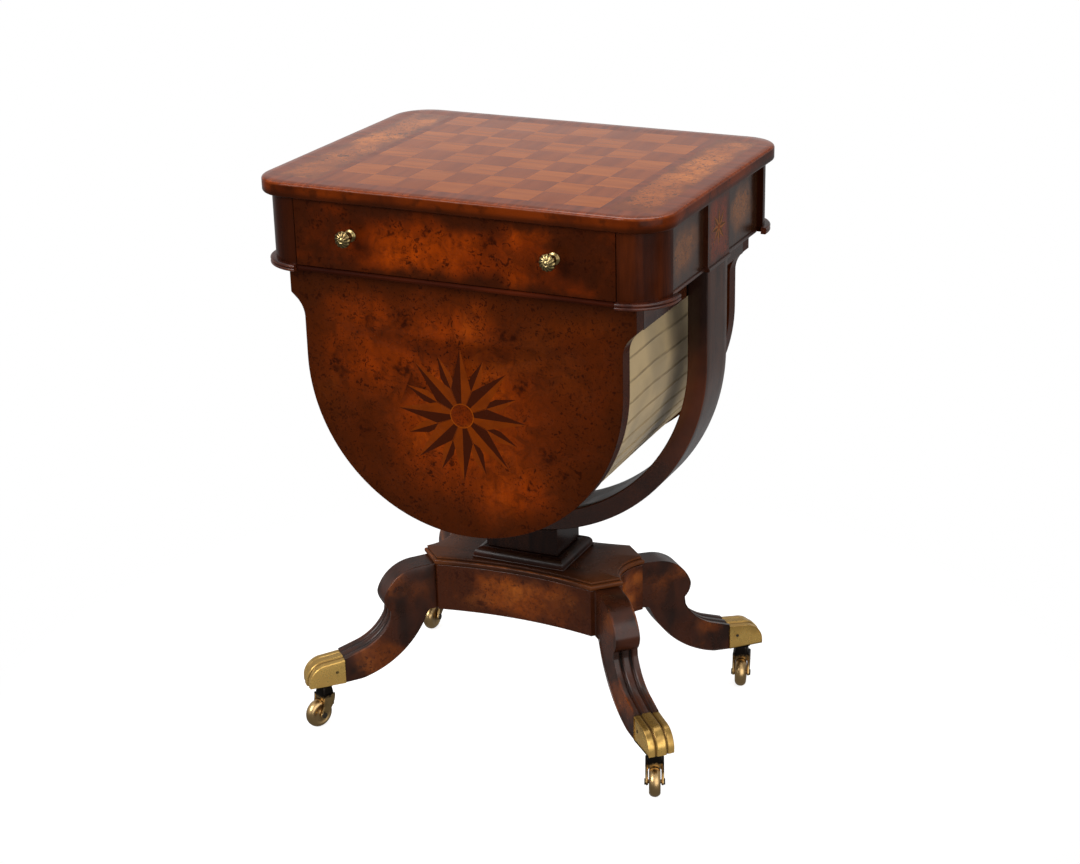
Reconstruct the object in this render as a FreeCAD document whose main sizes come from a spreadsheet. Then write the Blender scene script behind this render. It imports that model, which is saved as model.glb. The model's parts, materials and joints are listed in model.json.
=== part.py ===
import FreeCAD, Part
import Sketcher
import math
import os
import re

# Chess table on a half-round stand: inlaid top, frieze with a drawer, a half-round work
# basket between the arms, a hollow-sided base on four sabre legs with brass casters.
# The origin is on the floor under the middle of the whole table, its knobs included.
# X runs to the right, Y to the back, Z up.

SIZES = {
    # Heights, stacked up from the floor
    "caster_height": 61,
    "leg_drop": 84.5,
    "base_height": 75,
    "plinth_height": 14,
    "pedestal_height": 32.3,
    "arm_length": 116,
    "carcase_height": 88,
    "top_thickness": 18,
    # Top and its veneers
    "side_overhang": 8.3,
    "front_overhang": 6.6,
    "top_corner_radius": 47,
    "veneer_thickness": 1,
    "square_size": 44,
    "field_gap": 10,
    "field_width": 53.2,
    "band_width": 23.5,
    "front_margin": 30.6,
    # Frieze
    "post_radius": 48.9,
    "side_recess": 8,
    "panel_thickness": 18,
    "block_width": 72,
    "block_recess": 2,
    "moulding_projection": 7.2,
    "moulding_bead": 2.1,
    "moulding_drop": 1,
    "moulding_return": 6,
    "bead_radius": 2.5,
    "front_rail_height": 6,
    "front_rail_nose": 2,
    "top_rail_height": 14,
    "top_rail_depth": 28,
    "runner_thickness": 7,
    "runner_width": 48,
    "guide_width": 29,
    "guide_height": 19,
    # Drawer
    "drawer_gap": 1,
    "slide_gap": 0.3,
    "drawer_front_thickness": 19,
    "drawer_side_thickness": 10,
    "drawer_side_height": 64.5,
    "drawer_back_height": 52,
    "drawer_back_thickness": 8,
    "drawer_bottom_thickness": 4,
    "drawer_bottom_lift": 4,
    "drawer_back_room": 30,
    # Knobs
    "knob_spacing": 260,
    "knob_lift": 49.5,
    "collar_radius": 7.5,
    "collar_thickness": 2.5,
    "neck_radius": 4,
    "knob_projection": 23.5,
    "head_radius": 10.5,
    "head_thickness": 10,
    "head_rim": 3,
    "head_face_radius": 12.6,
    "head_boss_radius": 3.5,
    "knob_screw_radius": 2,
    "screw_hole_clearance": 0.05,
    "nut_radius": 5,
    "nut_thickness": 4,
    # Stand
    "arm_inset": 3.2,
    "arm_thickness": 24.9,
    "arm_width": 68.6,
    "arm_screw_radius": 2.5,
    "arm_screw_length": 36,
    "arm_screw_bite": 16,
    "arm_screw_inset": 8.3,
    "pedestal_width": 100,
    "plinth_width": 129,
    "plinth_depth": 97,
    "plinth_round": 11,
    "base_width": 283,
    "base_depth": 132.6,
    "base_chamfer": 31,
    "front_hollow_radius": 522,
    "side_hollow_radius": 51,
    "base_board_thickness": 11,
    "base_core_inset": 2,
    # Legs: reach is measured outward from the base, heights from the base's underside
    "leg_width": 33,
    "knee_flat": 25.5,
    "knee_reach": 71,
    "knee_height": 25,
    "knee_radius": 52.4,
    "curl_reach": 62.5,
    "curl_height": 5,
    "curl_radius": 25,
    "shin_reach": 63.5,
    "shin_drop": 5,
    "shin_radius": 68.3,
    "instep_reach": 105.5,
    "instep_drop": 42,
    "ankle_reach": 128.3,
    "ankle_thickness": 35,
    "sole_lift": 1.5,
    "sole_radius": 131,
    "heel_reach": 12.5,
    "heel_drop": 3,
    # Toe caps
    "cap_width": 34.4,
    "cap_length": 49.5,
    "cap_wall": 2,
    "cap_thickness": 34.5,
    "cap_flat": 22.5,
    "cap_slope": 2.5,
    "cap_nose_height": 6.5,
    "cap_nose_radius": 27,
    "cap_screw_radius": 2,
    "cap_screw_length": 9,
    "cap_screw_reach": 11,
    "cap_screw_lift": 17.5,
    # Casters
    "pivot_offset": 25.7,
    "pivot_radius": 3.5,
    "pivot_depth": 16,
    "pivot_clearance": 0.1,
    "plate_radius": 12.5,
    "plate_thickness": 4.5,
    "caster_neck_radius": 7.5,
    "caster_neck_height": 11.5,
    "wheel_radius": 19,
    "wheel_width": 14.5,
    "wheel_side_radius": 15.2,
    "tread_radius": 11,
    "wheel_gap": 0.9,
    "fork_wall": 3.6,
    "fork_end_radius": 4.8,
    "fork_crown": 4.5,
    "fork_depth": 18,
    "fork_back_radius": 30,
    "fork_front_radius": 40,
    "caster_trail": 11,
    "axle_radius": 2.6,
    "axle_clearance": 0.08,
    "rivet_radius": 4,
    "rivet_height": 1.2,
    # Basket
    "basket_setback": 13,
    "basket_gap": 3,
    "basket_clearance": 19.6,
    "basket_lift": 5.5,
    "basket_panel_thickness": 22,
    "shoulder_clearance": 2.3,
    "shoulder_height": 29.8,
    "shoulder_step": 5.8,
    "shoulder_ovolo": 5.3,
    "cove_height": 26,
    "cove_radius": 32.5,
    "basket_rail_height": 31,
    "basket_rail_width": 29.5,
    "groove_depth": 10.5,
    "flange_thickness": 8,
    "flange_width": 22,
    "flange_lift": 11.7,
    "web_width": 8,
    "bag_thickness": 3,
    "bag_drop": 22.7,
    "bag_inset": 2.5,
    # Star inlays
    "star_drop": 45.3,
    "star_long_ray": 84.5,
    "star_short_ray": 78,
    "star_waist_radius": 33,
    "star_waist_half": 13,
    "star_short_waist_radius": 51.5,
    "star_short_waist_half": 7.5,
    "star_hub_radius": 15.5,
    "star_thickness": 1,
    "side_star_ray": 24,
    "side_star_waist_radius": 9,
    "side_star_waist_half": 4,
    "side_star_hub": 5,
    "side_star_lift": 46,
}

SQUARES = 8
RAYS = 8

doc = FreeCAD.newDocument("chess_table")
sheet = doc.addObject("Spreadsheet::Sheet", "Sizes")
for row, (size_name, size) in enumerate(SIZES.items(), start=1):
    sheet.set(f"A{row}", size_name)
    sheet.set(f"B{row}", str(size))
    sheet.setAlias(f"B{row}", size_name)
doc.recompute()

parts = []

# The board of squares sets the top, the top sets the carcase, and the arms follow the carcase
board_half = f"(square_size * {SQUARES // 2})"
field_near = f"({board_half} + field_gap)"
field_far = f"({field_near} + field_width)"
top_half_width = f"({field_far} + band_width)"
top_half_depth = f"({board_half} + front_margin)"
half_width = f"({top_half_width} - side_overhang)"
half_depth = f"({top_half_depth} - front_overhang)"
curve_radius = f"({half_width} - arm_inset)"
# Heights and places that several pieces share
base_low = "(caster_height + leg_drop)"
base_high = f"({base_low} + base_height)"
pedestal_low = f"({base_high} + plinth_height)"
curve_centre = f"({pedestal_low} + pedestal_height + {curve_radius})"
carcase_low = f"({curve_centre} + arm_length)"
top_low = f"({carcase_low} + carcase_height)"
top_high = f"({top_low} + top_thickness)"
arm_inner = f"({curve_radius} - arm_thickness)"
post_x = f"({half_width} - post_radius)"
post_y = f"({half_depth} - post_radius)"
panel_face = f"({half_width} - side_recess)"
panel_inner = f"({panel_face} - panel_thickness)"
block_face = f"({half_width} - block_recess)"
rail_top = f"({carcase_low} + front_rail_height)"
drawer_low = f"({carcase_low} + runner_thickness + slide_gap)"
guide_x = f"({panel_inner} - guide_width)"
drawer_side_x = f"({guide_x} - drawer_gap)"
drawer_inner_x = f"({drawer_side_x} - drawer_side_thickness)"
drawer_back_y = f"({half_depth} - panel_thickness - drawer_back_room)"
front_inner_y = f"(drawer_front_thickness - {half_depth})"
knob_z = f"({carcase_low} + knob_lift)"
corner_x = "(base_width / 2 - base_core_inset - base_chamfer / 2)"
corner_y = "(base_depth / 2 - base_core_inset - base_chamfer / 2)"
basket_y = f"({half_depth} - basket_setback)"
basket_top = f"({carcase_low} - basket_gap)"
basket_radius = f"({arm_inner} - basket_clearance)"
basket_centre = f"({curve_centre} + basket_lift)"
shoulder_x = f"({arm_inner} - shoulder_clearance)"
rail_inner_x = f"({shoulder_x} - basket_rail_width)"
basket_panel_y = f"({basket_y} - basket_panel_thickness)"
rail_low = f"({basket_top} - basket_rail_height)"
groove_low = f"({rail_low} + flange_lift)"
groove_high = f"({groove_low} + slide_gap + flange_thickness)"
flange_far = f"({rail_inner_x} + groove_depth - drawer_gap)"
flange_near = f"({flange_far} - flange_width)"
star_z = f"({curve_centre} - star_drop)"
pivot_reach = "(ankle_reach + pivot_offset)"
wheel_inner = "(wheel_width / 2 + wheel_gap)"
# Pieces are laid out about the middle of the carcase, which stands this far behind the origin
carcase_shift = "((knob_projection - moulding_projection) / 2)"
fork_half = f"({wheel_inner} + fork_wall)"


def full(text):
    """The expression with each size named as a cell of the sheet."""
    return re.sub(r"[a-z_]+", lambda word: "Sizes." + word[0] if word[0] in SIZES else word[0], text)


def value(text):
    """The number that an expression gives now."""
    return float(sheet.evalExpression(full(text)))


def bind(item, prop, text):
    """Tie one property of an object to an expression of the sheet's sizes."""
    item.setExpression(prop, full(text))


def place(item, x="0", y="0", z="0", turn=None):
    """Put an object at x, y, z from the carcase's middle, turned by a FreeCAD rotation."""
    y = f"({y}) + {carcase_shift}"
    spot = FreeCAD.Vector(value(x), value(y), value(z))
    item.Placement = FreeCAD.Placement(spot, turn or FreeCAD.Rotation())
    for axis, text in (("x", x), ("y", y), ("z", z)):
        bind(item, f"Placement.Base.{axis}", text)


def part(label, item):
    """Give a finished sub-part the label that names its file."""
    item.Label = label
    parts.append(item)
    return item


def span(side, near, far):
    """A stretch from near to far on the plus or the minus side of the middle."""
    return (near, far) if side > 0 else (f"-({far})", f"-({near})")


def box(x, y, z):
    """A box between pairs of low and high expressions."""
    item = doc.addObject("Part::Box", "block")
    for prop, (low, high) in (("Length", x), ("Width", y), ("Height", z)):
        bind(item, prop, f"({high}) - ({low})")
    place(item, x[0], y[0], z[0])
    return item


ALONG = {
    "x": FreeCAD.Rotation(FreeCAD.Vector(0, 1, 0), 90),
    "y": FreeCAD.Rotation(FreeCAD.Vector(1, 0, 0), -90),
    "z": FreeCAD.Rotation(),
}


def rod(axis, radius, length, x, y, z):
    """A cylinder that starts at x, y, z and runs along one axis."""
    item = doc.addObject("Part::Cylinder", "rod")
    bind(item, "Radius", radius)
    bind(item, "Height", length)
    place(item, x, y, z, ALONG[axis])
    return item


def cut(base, *tools):
    """The base with the tools taken away."""
    for tool in tools:
        item = doc.addObject("Part::Cut", "cut")
        item.Base = base
        item.Tool = tool
        base = item
    return base


def fuse(*items):
    """Several solids joined into one."""
    item = doc.addObject("Part::MultiFuse", "joined")
    item.Shapes = list(items)
    return item


def group(*items):
    """Several solids kept apart in one sub-part."""
    item = doc.addObject("Part::Compound", "group")
    item.Links = list(items)
    return item


def new_sketch(body, role):
    """A sketch on one of the body's own origin planes."""
    sketch = body.newObject("Sketcher::SketchObject", "outline")
    plane = [item for item in body.Origin.OriginFeatures if item.Role == role][0]
    sketch.AttachmentSupport = [(plane, "")]
    sketch.MapMode = "FlatFace"
    return sketch


def arc_between(start, end, radius, turn):
    """The short arc from start to end; turn is 1 to the left, -1 to the right."""
    chord = end - start
    middle = (start + end) / 2
    left = FreeCAD.Vector(-chord.y, chord.x, 0).normalize()
    rise = math.sqrt(max(radius ** 2 - (chord.Length / 2) ** 2, 0))
    centre = middle + left * rise * turn
    return Part.Arc(start, centre - left * radius * turn, end)


def outline(sketch, steps):
    """A closed outline. A step is its corner's x and y, and for an arc to the next corner
    also its radius and its turn. Each corner and radius is tied to the sheet."""
    corners = [FreeCAD.Vector(value(step[0]), value(step[1]), 0) for step in steps]
    edges = []
    for index, step in enumerate(steps):
        start = corners[index]
        end = corners[(index + 1) % len(steps)]
        if len(step) == 4:
            edge = sketch.addGeometry(arc_between(start, end, value(step[2]), step[3]))
        else:
            edge = sketch.addGeometry(Part.LineSegment(start, end))
        first = 1 if sketch.getPoint(edge, 1).distanceToPoint(start) < 1e-6 else 2
        edges.append((edge, first))
    for index, step in enumerate(steps):
        edge, first = edges[index]
        following, following_first = edges[(index + 1) % len(steps)]
        sketch.addConstraint(Sketcher.Constraint("Coincident", edge, 3 - first, following, following_first))
        for kind, axis, text in (("DistanceX", -2, step[0]), ("DistanceY", -1, step[1])):
            if text == "0":
                sketch.addConstraint(Sketcher.Constraint("PointOnObject", edge, first, axis))
            else:
                held = sketch.addConstraint(Sketcher.Constraint(kind, -1, 1, edge, first, value(text)))
                bind(sketch, f"Constraints[{held}]", text)
        if len(step) == 4:
            held = sketch.addConstraint(Sketcher.Constraint("Radius", edge, value(step[2])))
            bind(sketch, f"Constraints[{held}]", step[2])


def add_pad(body, role, steps, length, middle=True):
    """A pad of an outline, by half its length to both sides or along the plane's normal."""
    sketch = new_sketch(body, role)
    outline(sketch, steps)
    pad = body.newObject("PartDesign::Pad", "pad")
    pad.Profile = sketch
    pad.SideType = "Symmetric" if middle else "One side"
    bind(pad, "Length", length)
    return pad


def padded(role, steps, length, middle=True):
    """A body that is one pad."""
    body = doc.addObject("PartDesign::Body", "body")
    add_pad(body, role, steps, length, middle)
    return body


def turned(role, steps, angle=360):
    """A body turned about its sketch's upright axis."""
    body = doc.addObject("PartDesign::Body", "body")
    sketch = new_sketch(body, role)
    outline(sketch, steps)
    turn = body.newObject("PartDesign::Revolution", "turn")
    turn.Profile = sketch
    turn.ReferenceAxis = (sketch, ["V_Axis"])
    turn.Angle = angle
    return body


def about_z(degrees):
    """A turn about the upright axis."""
    return FreeCAD.Rotation(FreeCAD.Vector(0, 0, 1), degrees)


def signed(sign, text):
    """An expression with a sign."""
    return text if sign > 0 else f"-({text})"


# ---------------------------------------------------------------- top
def rounded_board(width, depth, radius, thickness):
    """A board with four round corners, its underside on its own XY plane."""
    steps = []
    for x, y in ((1, -1), (1, 1), (-1, 1), (-1, -1)):
        across = (signed(x, f"{width} - {radius}"), signed(y, depth))
        along = (signed(x, width), signed(y, f"{depth} - {radius}"))
        first, last = (across, along) if x * y < 0 else (along, across)
        steps.append((*first, radius, 1))
        steps.append(last)
    return padded("XY_Plane", steps, thickness, middle=False)


def veneer_box(x, y):
    """A rectangle of veneer on the top board."""
    return box(x, y, (f"{top_high} - veneer_thickness", top_high))


def make_top():
    """Top board, crossbanded border, burl fields and the two sets of squares."""
    core = rounded_board(top_half_width, top_half_depth, "top_corner_radius",
                         "top_thickness - veneer_thickness")
    place(core, z=top_low)
    part("top_core", core)

    field_y = (f"-{board_half}", board_half)
    fields = [veneer_box(span(side, field_near, field_far), field_y) for side in (-1, 1)]
    part("top_burl_fields", group(*fields))

    border = rounded_board(top_half_width, top_half_depth, "top_corner_radius", "veneer_thickness")
    place(border, z=f"{top_high} - veneer_thickness")
    board = veneer_box((f"-{board_half}", board_half), (f"-{board_half}", board_half))
    openings = [veneer_box(span(side, field_near, field_far), field_y) for side in (-1, 1)]
    part("top_crossbanding", cut(border, board, *openings))

    squares = {"light_squares": [], "dark_squares": []}
    for column in range(SQUARES):
        for line in range(SQUARES):
            label = "dark_squares" if (column + line) % 2 == 0 else "light_squares"
            x = column - SQUARES // 2
            y = line - SQUARES // 2
            square = veneer_box((f"square_size * ({x})", f"square_size * ({x + 1})"),
                                (f"square_size * ({y})", f"square_size * ({y + 1})"))
            squares[label].append(square)
    for label, items in squares.items():
        part(label, group(*items))


# ---------------------------------------------------------------- frieze
CORNERS = (("front_left", -1, -1), ("front_right", 1, -1), ("back_right", 1, 1), ("back_left", -1, 1))


def quadrant(x, y):
    """The turn that points a quarter circle into one quadrant."""
    return about_z({(1, 1): 0, (-1, 1): 90, (-1, -1): 180, (1, -1): 270}[(x, y)])


def corner_post(x, y):
    """A quarter-round post."""
    post = doc.addObject("Part::Cylinder", "post")
    bind(post, "Radius", "post_radius")
    bind(post, "Height", "carcase_height")
    post.Angle = 90
    place(post, signed(x, post_x), signed(y, post_y), carcase_low, quadrant(x, y))
    return post


def moulding_outline(back):
    """Double bead: two half-rounds, one over the other, in front of a strip that reaches back
    to a post or to a side panel."""
    neck = "(post_radius + moulding_projection - moulding_bead)"
    nose = "(post_radius + moulding_projection)"
    return [
        (back, "0"),
        (neck, "0", "moulding_bead", 1),
        (nose, "moulding_bead", "moulding_bead", 1),
        (neck, "moulding_bead * 2", "moulding_bead", 1),
        (nose, "moulding_bead * 3", "moulding_bead", 1),
        (neck, "moulding_bead * 4"),
        (back, "moulding_bead * 4"),
    ]


def corner_moulding(x, y):
    """The moulding round a post, with a short straight return along the side."""
    low = f"{carcase_low} - moulding_drop"
    bend = turned("XZ_Plane", moulding_outline("post_radius"), 90)
    place(bend, signed(x, post_x), signed(y, post_y), low, quadrant(x, y))
    strip = padded("XZ_Plane", moulding_outline("(post_radius - side_recess)"), "moulding_return")
    middle = f"({post_y} - moulding_return / 2)"
    place(strip, signed(x, post_x), signed(y, middle), low, about_z(0 if x > 0 else 180))
    return fuse(bend, strip)


def half_bead(face, side, y_low, y_high):
    """A half-round bead along a side, flat against an upright face."""
    bead = doc.addObject("Part::Cylinder", "bead")
    bind(bead, "Radius", "bead_radius")
    bind(bead, "Height", f"({y_high}) - ({y_low})")
    bead.Angle = 180
    lie = FreeCAD.Rotation(FreeCAD.Vector(1, 0, 0), -90)
    roll = FreeCAD.Rotation(FreeCAD.Vector(0, 1, 0), -90 if side > 0 else 90)
    place(bead, signed(side, face), y_low, f"{carcase_low} + bead_radius", roll.multiply(lie))
    return bead


def make_frieze():
    """Posts, panels, side blocks, mouldings, rails, runners and kickers."""
    upright = (carcase_low, top_low)
    part("corner_posts", group(*[corner_post(x, y) for _, x, y in CORNERS]))
    part("corner_mouldings", group(*[corner_moulding(x, y) for _, x, y in CORNERS]))
    between_posts = (f"-{post_y}", post_y)
    for name, side in (("left", -1), ("right", 1)):
        panel = box(span(side, panel_inner, panel_face), between_posts, upright)
        part(f"side_panel_{name}", panel)

    blocks = []
    beads = []
    for side in (-1, 1):
        edge = "(block_width / 2)"
        block = box(span(side, panel_face, block_face), (f"-{edge}", edge), upright)
        recess = side_star(side)
        blocks.append(cut(block, recess))
        beads.append(half_bead(block_face, side, f"-{edge}", edge))
        stop = f"({post_y} - moulding_return)"
        beads.append(half_bead(panel_face, side, f"-{stop}", f"-{edge}"))
        beads.append(half_bead(panel_face, side, edge, stop))
    part("side_blocks", group(*blocks))
    part("side_star_inlays", group(*[side_star(side) for side in (-1, 1)]))
    part("lower_beads", group(*beads))

    between = (f"-{post_x}", post_x)
    back = box(between, (f"{half_depth} - panel_thickness", half_depth), upright)
    part("back_panel", back)

    rail_back = f"(-{post_y})"
    nose = [
        (f"-{half_depth}", "0", "front_rail_height", -1),
        (f"-{half_depth} - front_rail_nose", "front_rail_height / 2", "front_rail_height", -1),
        (f"-{half_depth}", "front_rail_height"),
        (rail_back, "front_rail_height"),
        (rail_back, "0"),
    ]
    front_rail = padded("YZ_Plane", nose, f"{post_x} * 2")
    place(front_rail, z=carcase_low)
    part("front_rail", front_rail)

    top_rail_front = f"({front_inner_y} + drawer_gap)"
    top_rail = box(between, (top_rail_front, f"{top_rail_front} + top_rail_depth"),
                   (f"{top_low} - top_rail_height", top_low))
    part("top_rail", top_rail)

    runners = []
    kickers = []
    for side in (-1, 1):
        shelf = box(span(side, f"{panel_inner} - runner_width", panel_inner), between_posts,
                    (carcase_low, f"{carcase_low} + runner_thickness"))
        guide_low = f"{carcase_low} + runner_thickness"
        guide = box(span(side, guide_x, panel_inner), between_posts,
                    (guide_low, f"{guide_low} + guide_height"))
        runners.append(fuse(shelf, guide))
        kickers.append(box(span(side, f"{panel_inner} - runner_width", panel_inner), between_posts,
                           (f"{drawer_low} + drawer_side_height + drawer_gap", top_low)))
    part("drawer_runners", group(*runners))
    part("drawer_kickers", group(*kickers))


# ---------------------------------------------------------------- star inlays
def star(long_ray, waist_radius, waist_half, hub, short_ray=None, short_radius=None, short_half=None):
    """A flat star: kite-shaped rays about a round hub, standing on its own XZ plane."""
    body = doc.addObject("PartDesign::Body", "star")
    sketch = new_sketch(body, "XZ_Plane")
    circle = sketch.addGeometry(Part.Circle(FreeCAD.Vector(), FreeCAD.Vector(0, 0, 1), value(hub)))
    sketch.addConstraint(Sketcher.Constraint("Coincident", circle, 3, -1, 1))
    held = sketch.addConstraint(Sketcher.Constraint("Radius", circle, value(hub)))
    bind(sketch, f"Constraints[{held}]", hub)
    disc = body.newObject("PartDesign::Pad", "disc")
    disc.Profile = sketch
    bind(disc, "Length", "star_thickness")
    rays = [(long_ray, waist_radius, waist_half, 0)]
    if short_ray:
        rays.append((short_ray, short_radius, short_half, 180 / RAYS))
    for tip, radius, half, lean in rays:
        steps = [("0", "0")]
        for along, across in ((radius, f"-({half})"), (tip, "0"), (radius, half)):
            x = f"({along}) * cos({lean} deg) - ({across}) * sin({lean} deg)"
            y = f"({along}) * sin({lean} deg) + ({across}) * cos({lean} deg)"
            if lean == 0:
                x, y = along, across
            steps.append((x, y))
        ray = add_pad(body, "XZ_Plane", steps, "star_thickness", middle=False)
        doc.recompute()
        pattern = body.newObject("PartDesign::PolarPattern", "rays")
        pattern.Originals = [ray]
        pattern.Axis = (ray.Profile[0], ["N_Axis"])
        pattern.Angle = 360
        pattern.Occurrences = RAYS
        body.Tip = pattern
    return body


def side_star(side):
    """The small star let into the outer face of a side block."""
    body = star("side_star_ray", "side_star_waist_radius", "side_star_waist_half", "side_star_hub")
    inner = f"({block_face} - star_thickness)"
    place(body, signed(side, inner), "0", f"{carcase_low} + side_star_lift",
          about_z(90 if side > 0 else -90))
    return body


def basket_star(side):
    """The compass star let into the outer face of a basket panel."""
    body = star("star_long_ray", "star_waist_radius", "star_waist_half", "star_hub_radius",
                "star_short_ray", "star_short_waist_radius", "star_short_waist_half")
    inner = f"({basket_y} - star_thickness)"
    place(body, "0", signed(side, inner), star_z, about_z(0 if side < 0 else 180))
    return body


# ---------------------------------------------------------------- drawer
def make_drawer():
    """Drawer front, sides, back, bottom and two knobs with their nuts."""
    front_half = f"({post_x} - drawer_gap)"
    front = box((f"-{front_half}", front_half), (f"-{half_depth}", front_inner_y),
                (f"{rail_top} + drawer_gap", f"{top_low} - drawer_gap"))
    knob_x = "(knob_spacing / 2)"
    holes = [rod("y", "knob_screw_radius + screw_hole_clearance", "drawer_front_thickness",
                 signed(side, knob_x), f"-{half_depth}", knob_z) for side in (-1, 1)]
    part("drawer_front", cut(front, *holes))

    length = (front_inner_y, drawer_back_y)
    for name, side in (("left", -1), ("right", 1)):
        wall = box(span(side, drawer_inner_x, drawer_side_x), length,
                   (drawer_low, f"{drawer_low} + drawer_side_height"))
        part(f"drawer_side_{name}", wall)
    inside = (f"-{drawer_inner_x}", drawer_inner_x)
    bottom_low = f"({drawer_low} + drawer_bottom_lift)"
    bottom_high = f"({bottom_low} + drawer_bottom_thickness)"
    part("drawer_bottom", box(inside, length, (bottom_low, bottom_high)))
    part("drawer_back", box(inside, (f"{drawer_back_y} - drawer_back_thickness", drawer_back_y),
                            (bottom_high, f"{bottom_high} + drawer_back_height")))

    reach = "(drawer_front_thickness + nut_thickness)"
    head_back = "(knob_projection - head_thickness)"
    profile = [
        ("0", f"-{reach}"),
        ("knob_screw_radius", f"-{reach}"),
        ("knob_screw_radius", "0"),
        ("collar_radius", "0"),
        ("collar_radius", "collar_thickness"),
        ("neck_radius", "collar_thickness"),
        ("neck_radius", head_back),
        ("head_radius", f"{head_back} + head_rim / 2"),
        ("head_radius", f"{head_back} + head_rim * 2", "head_face_radius", 1),
        ("head_boss_radius", "knob_projection"),
        ("0", "knob_projection"),
    ]
    nuts = []
    for name, side in (("left", -1), ("right", 1)):
        knob = turned("XY_Plane", profile)
        place(knob, signed(side, knob_x), f"-{half_depth}", knob_z, about_z(180))
        part(f"knob_{name}", knob)
        disc = rod("y", "nut_radius", "nut_thickness", signed(side, knob_x), front_inner_y, knob_z)
        bore = rod("y", "knob_screw_radius", "nut_thickness", signed(side, knob_x), front_inner_y, knob_z)
        nuts.append(cut(disc, bore))
    part("knob_nuts", group(*nuts))


# ---------------------------------------------------------------- stand
def base_outline(inset):
    """The base's plan: four hollow sides between four chamfered corners."""
    width = f"(base_width / 2 - {inset})"
    depth = f"(base_depth / 2 - {inset})"
    inner_x = f"({width} - base_chamfer)"
    inner_y = f"({depth} - base_chamfer)"
    return [
        (f"-{inner_x}", f"-{depth}", "front_hollow_radius", -1),
        (inner_x, f"-{depth}"),
        (width, f"-{inner_y}", "side_hollow_radius", -1),
        (width, inner_y),
        (inner_x, depth, "front_hollow_radius", -1),
        (f"-{inner_x}", depth),
        (f"-{width}", inner_y, "side_hollow_radius", -1),
        (f"-{width}", f"-{inner_y}"),
    ]


def half_ring():
    """The lower half of a ring, as wide as the arms."""
    halves = []
    for radius in (curve_radius, arm_inner):
        half = doc.addObject("Part::Cylinder", "half_round")
        bind(half, "Radius", radius)
        bind(half, "Height", "arm_width")
        half.Angle = 180
        place(half, "0", "-arm_width / 2", curve_centre, ALONG["y"])
        halves.append(half)
    return cut(*halves)


def make_stand():
    """Arms, the curve between them, pedestal block, plinth and the two boards of the base."""
    depth = ("-arm_width / 2", "arm_width / 2")
    screws = []
    for name, side in (("left", -1), ("right", 1)):
        middle = signed(side, f"({arm_inner} + arm_screw_inset)")
        arm = box(span(side, arm_inner, curve_radius), depth, (curve_centre, carcase_low))
        holes = []
        for y in ("-arm_width / 4", "arm_width / 4"):
            start = f"{carcase_low} - arm_screw_length + arm_screw_bite"
            holes.append(rod("z", "arm_screw_radius", "arm_screw_length", middle, y, start))
            screws.append(rod("z", "arm_screw_radius", "arm_screw_length - arm_screw_bite",
                              middle, y, start))
        part(f"u_arm_{name}", cut(arm, *holes))
    part("arm_screws", group(*screws))
    part("u_curve", half_ring())

    pedestal_top = f"{pedestal_low} + pedestal_height + arm_thickness"
    block = box(("-pedestal_width / 2", "pedestal_width / 2"), depth, (pedestal_low, pedestal_top))
    seat = rod("y", curve_radius, "arm_width", "0", "-arm_width / 2", curve_centre)
    part("pedestal_block", cut(block, seat))

    plinth_profile = []
    for x, y in ((1, -1), (1, 1), (-1, 1), (-1, -1)):
        plinth_profile.append((signed(x, "plinth_width / 2"), signed(y, "plinth_depth / 2")))
    plinth = doc.addObject("PartDesign::Body", "plinth")
    pad = add_pad(plinth, "XY_Plane", plinth_profile, "plinth_height", middle=False)
    doc.recompute()
    top_edges = []
    for number, edge in enumerate(pad.Shape.Edges, start=1):
        if edge.BoundBox.ZMin > value("plinth_height") - 1e-6:
            top_edges.append(f"Edge{number}")
    rounding = plinth.newObject("PartDesign::Fillet", "rounding")
    rounding.Base = (pad, top_edges)
    bind(rounding, "Radius", "plinth_round")
    place(plinth, z=base_high)
    part("plinth_moulding", plinth)

    board_low = f"({base_high} - base_board_thickness)"
    board = padded("XY_Plane", base_outline("0"), "base_board_thickness", middle=False)
    place(board, z=board_low)
    part("base_top", board)
    core = padded("XY_Plane", base_outline("base_core_inset"), "base_height - base_board_thickness",
                  middle=False)
    place(core, z=base_low)
    part("base_core", core)


# ---------------------------------------------------------------- legs
def leg_outline():
    """A sabre leg from the side: round knee, hollow shin and a flat toe."""
    ankle_top = "caster_height + ankle_thickness"
    sole = "caster_height + sole_lift"
    return [
        ("0", base_low),
        ("0", f"{base_high} - base_board_thickness"),
        ("knee_flat", f"{base_high} - base_board_thickness - sole_lift", "knee_radius", -1),
        ("knee_reach", f"{base_low} + knee_height", "curl_radius", -1),
        ("curl_reach", f"{base_low} + curl_height"),
        ("shin_reach", f"{base_low} - shin_drop", "shin_radius", 1),
        ("instep_reach", f"{base_low} - instep_drop"),
        ("ankle_reach", ankle_top),
        ("ankle_reach", "caster_height"),
        ("instep_reach", sole, "sole_radius", -1),
        ("heel_reach", f"{base_low} - heel_drop"),
        ("heel_reach - heel_drop", base_low),
    ]


def toe_outline(inset):
    """The toe from the side, rounded over at its nose, set in by a wall."""
    nose = f"(ankle_reach + cap_length - {inset})"
    return [
        ("ankle_reach", f"caster_height + {inset}"),
        ("ankle_reach", f"caster_height + cap_thickness - {inset}"),
        ("ankle_reach + cap_flat", f"caster_height + cap_thickness - cap_slope - {inset}",
         f"cap_nose_radius - {inset}", -1),
        (nose, "caster_height + cap_nose_height"),
        (nose, f"caster_height + {inset}"),
    ]


def outward(x, y):
    """The turn that points a piece's X axis out along the diagonal of one corner."""
    return about_z(math.degrees(math.atan2(y, x)))


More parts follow.
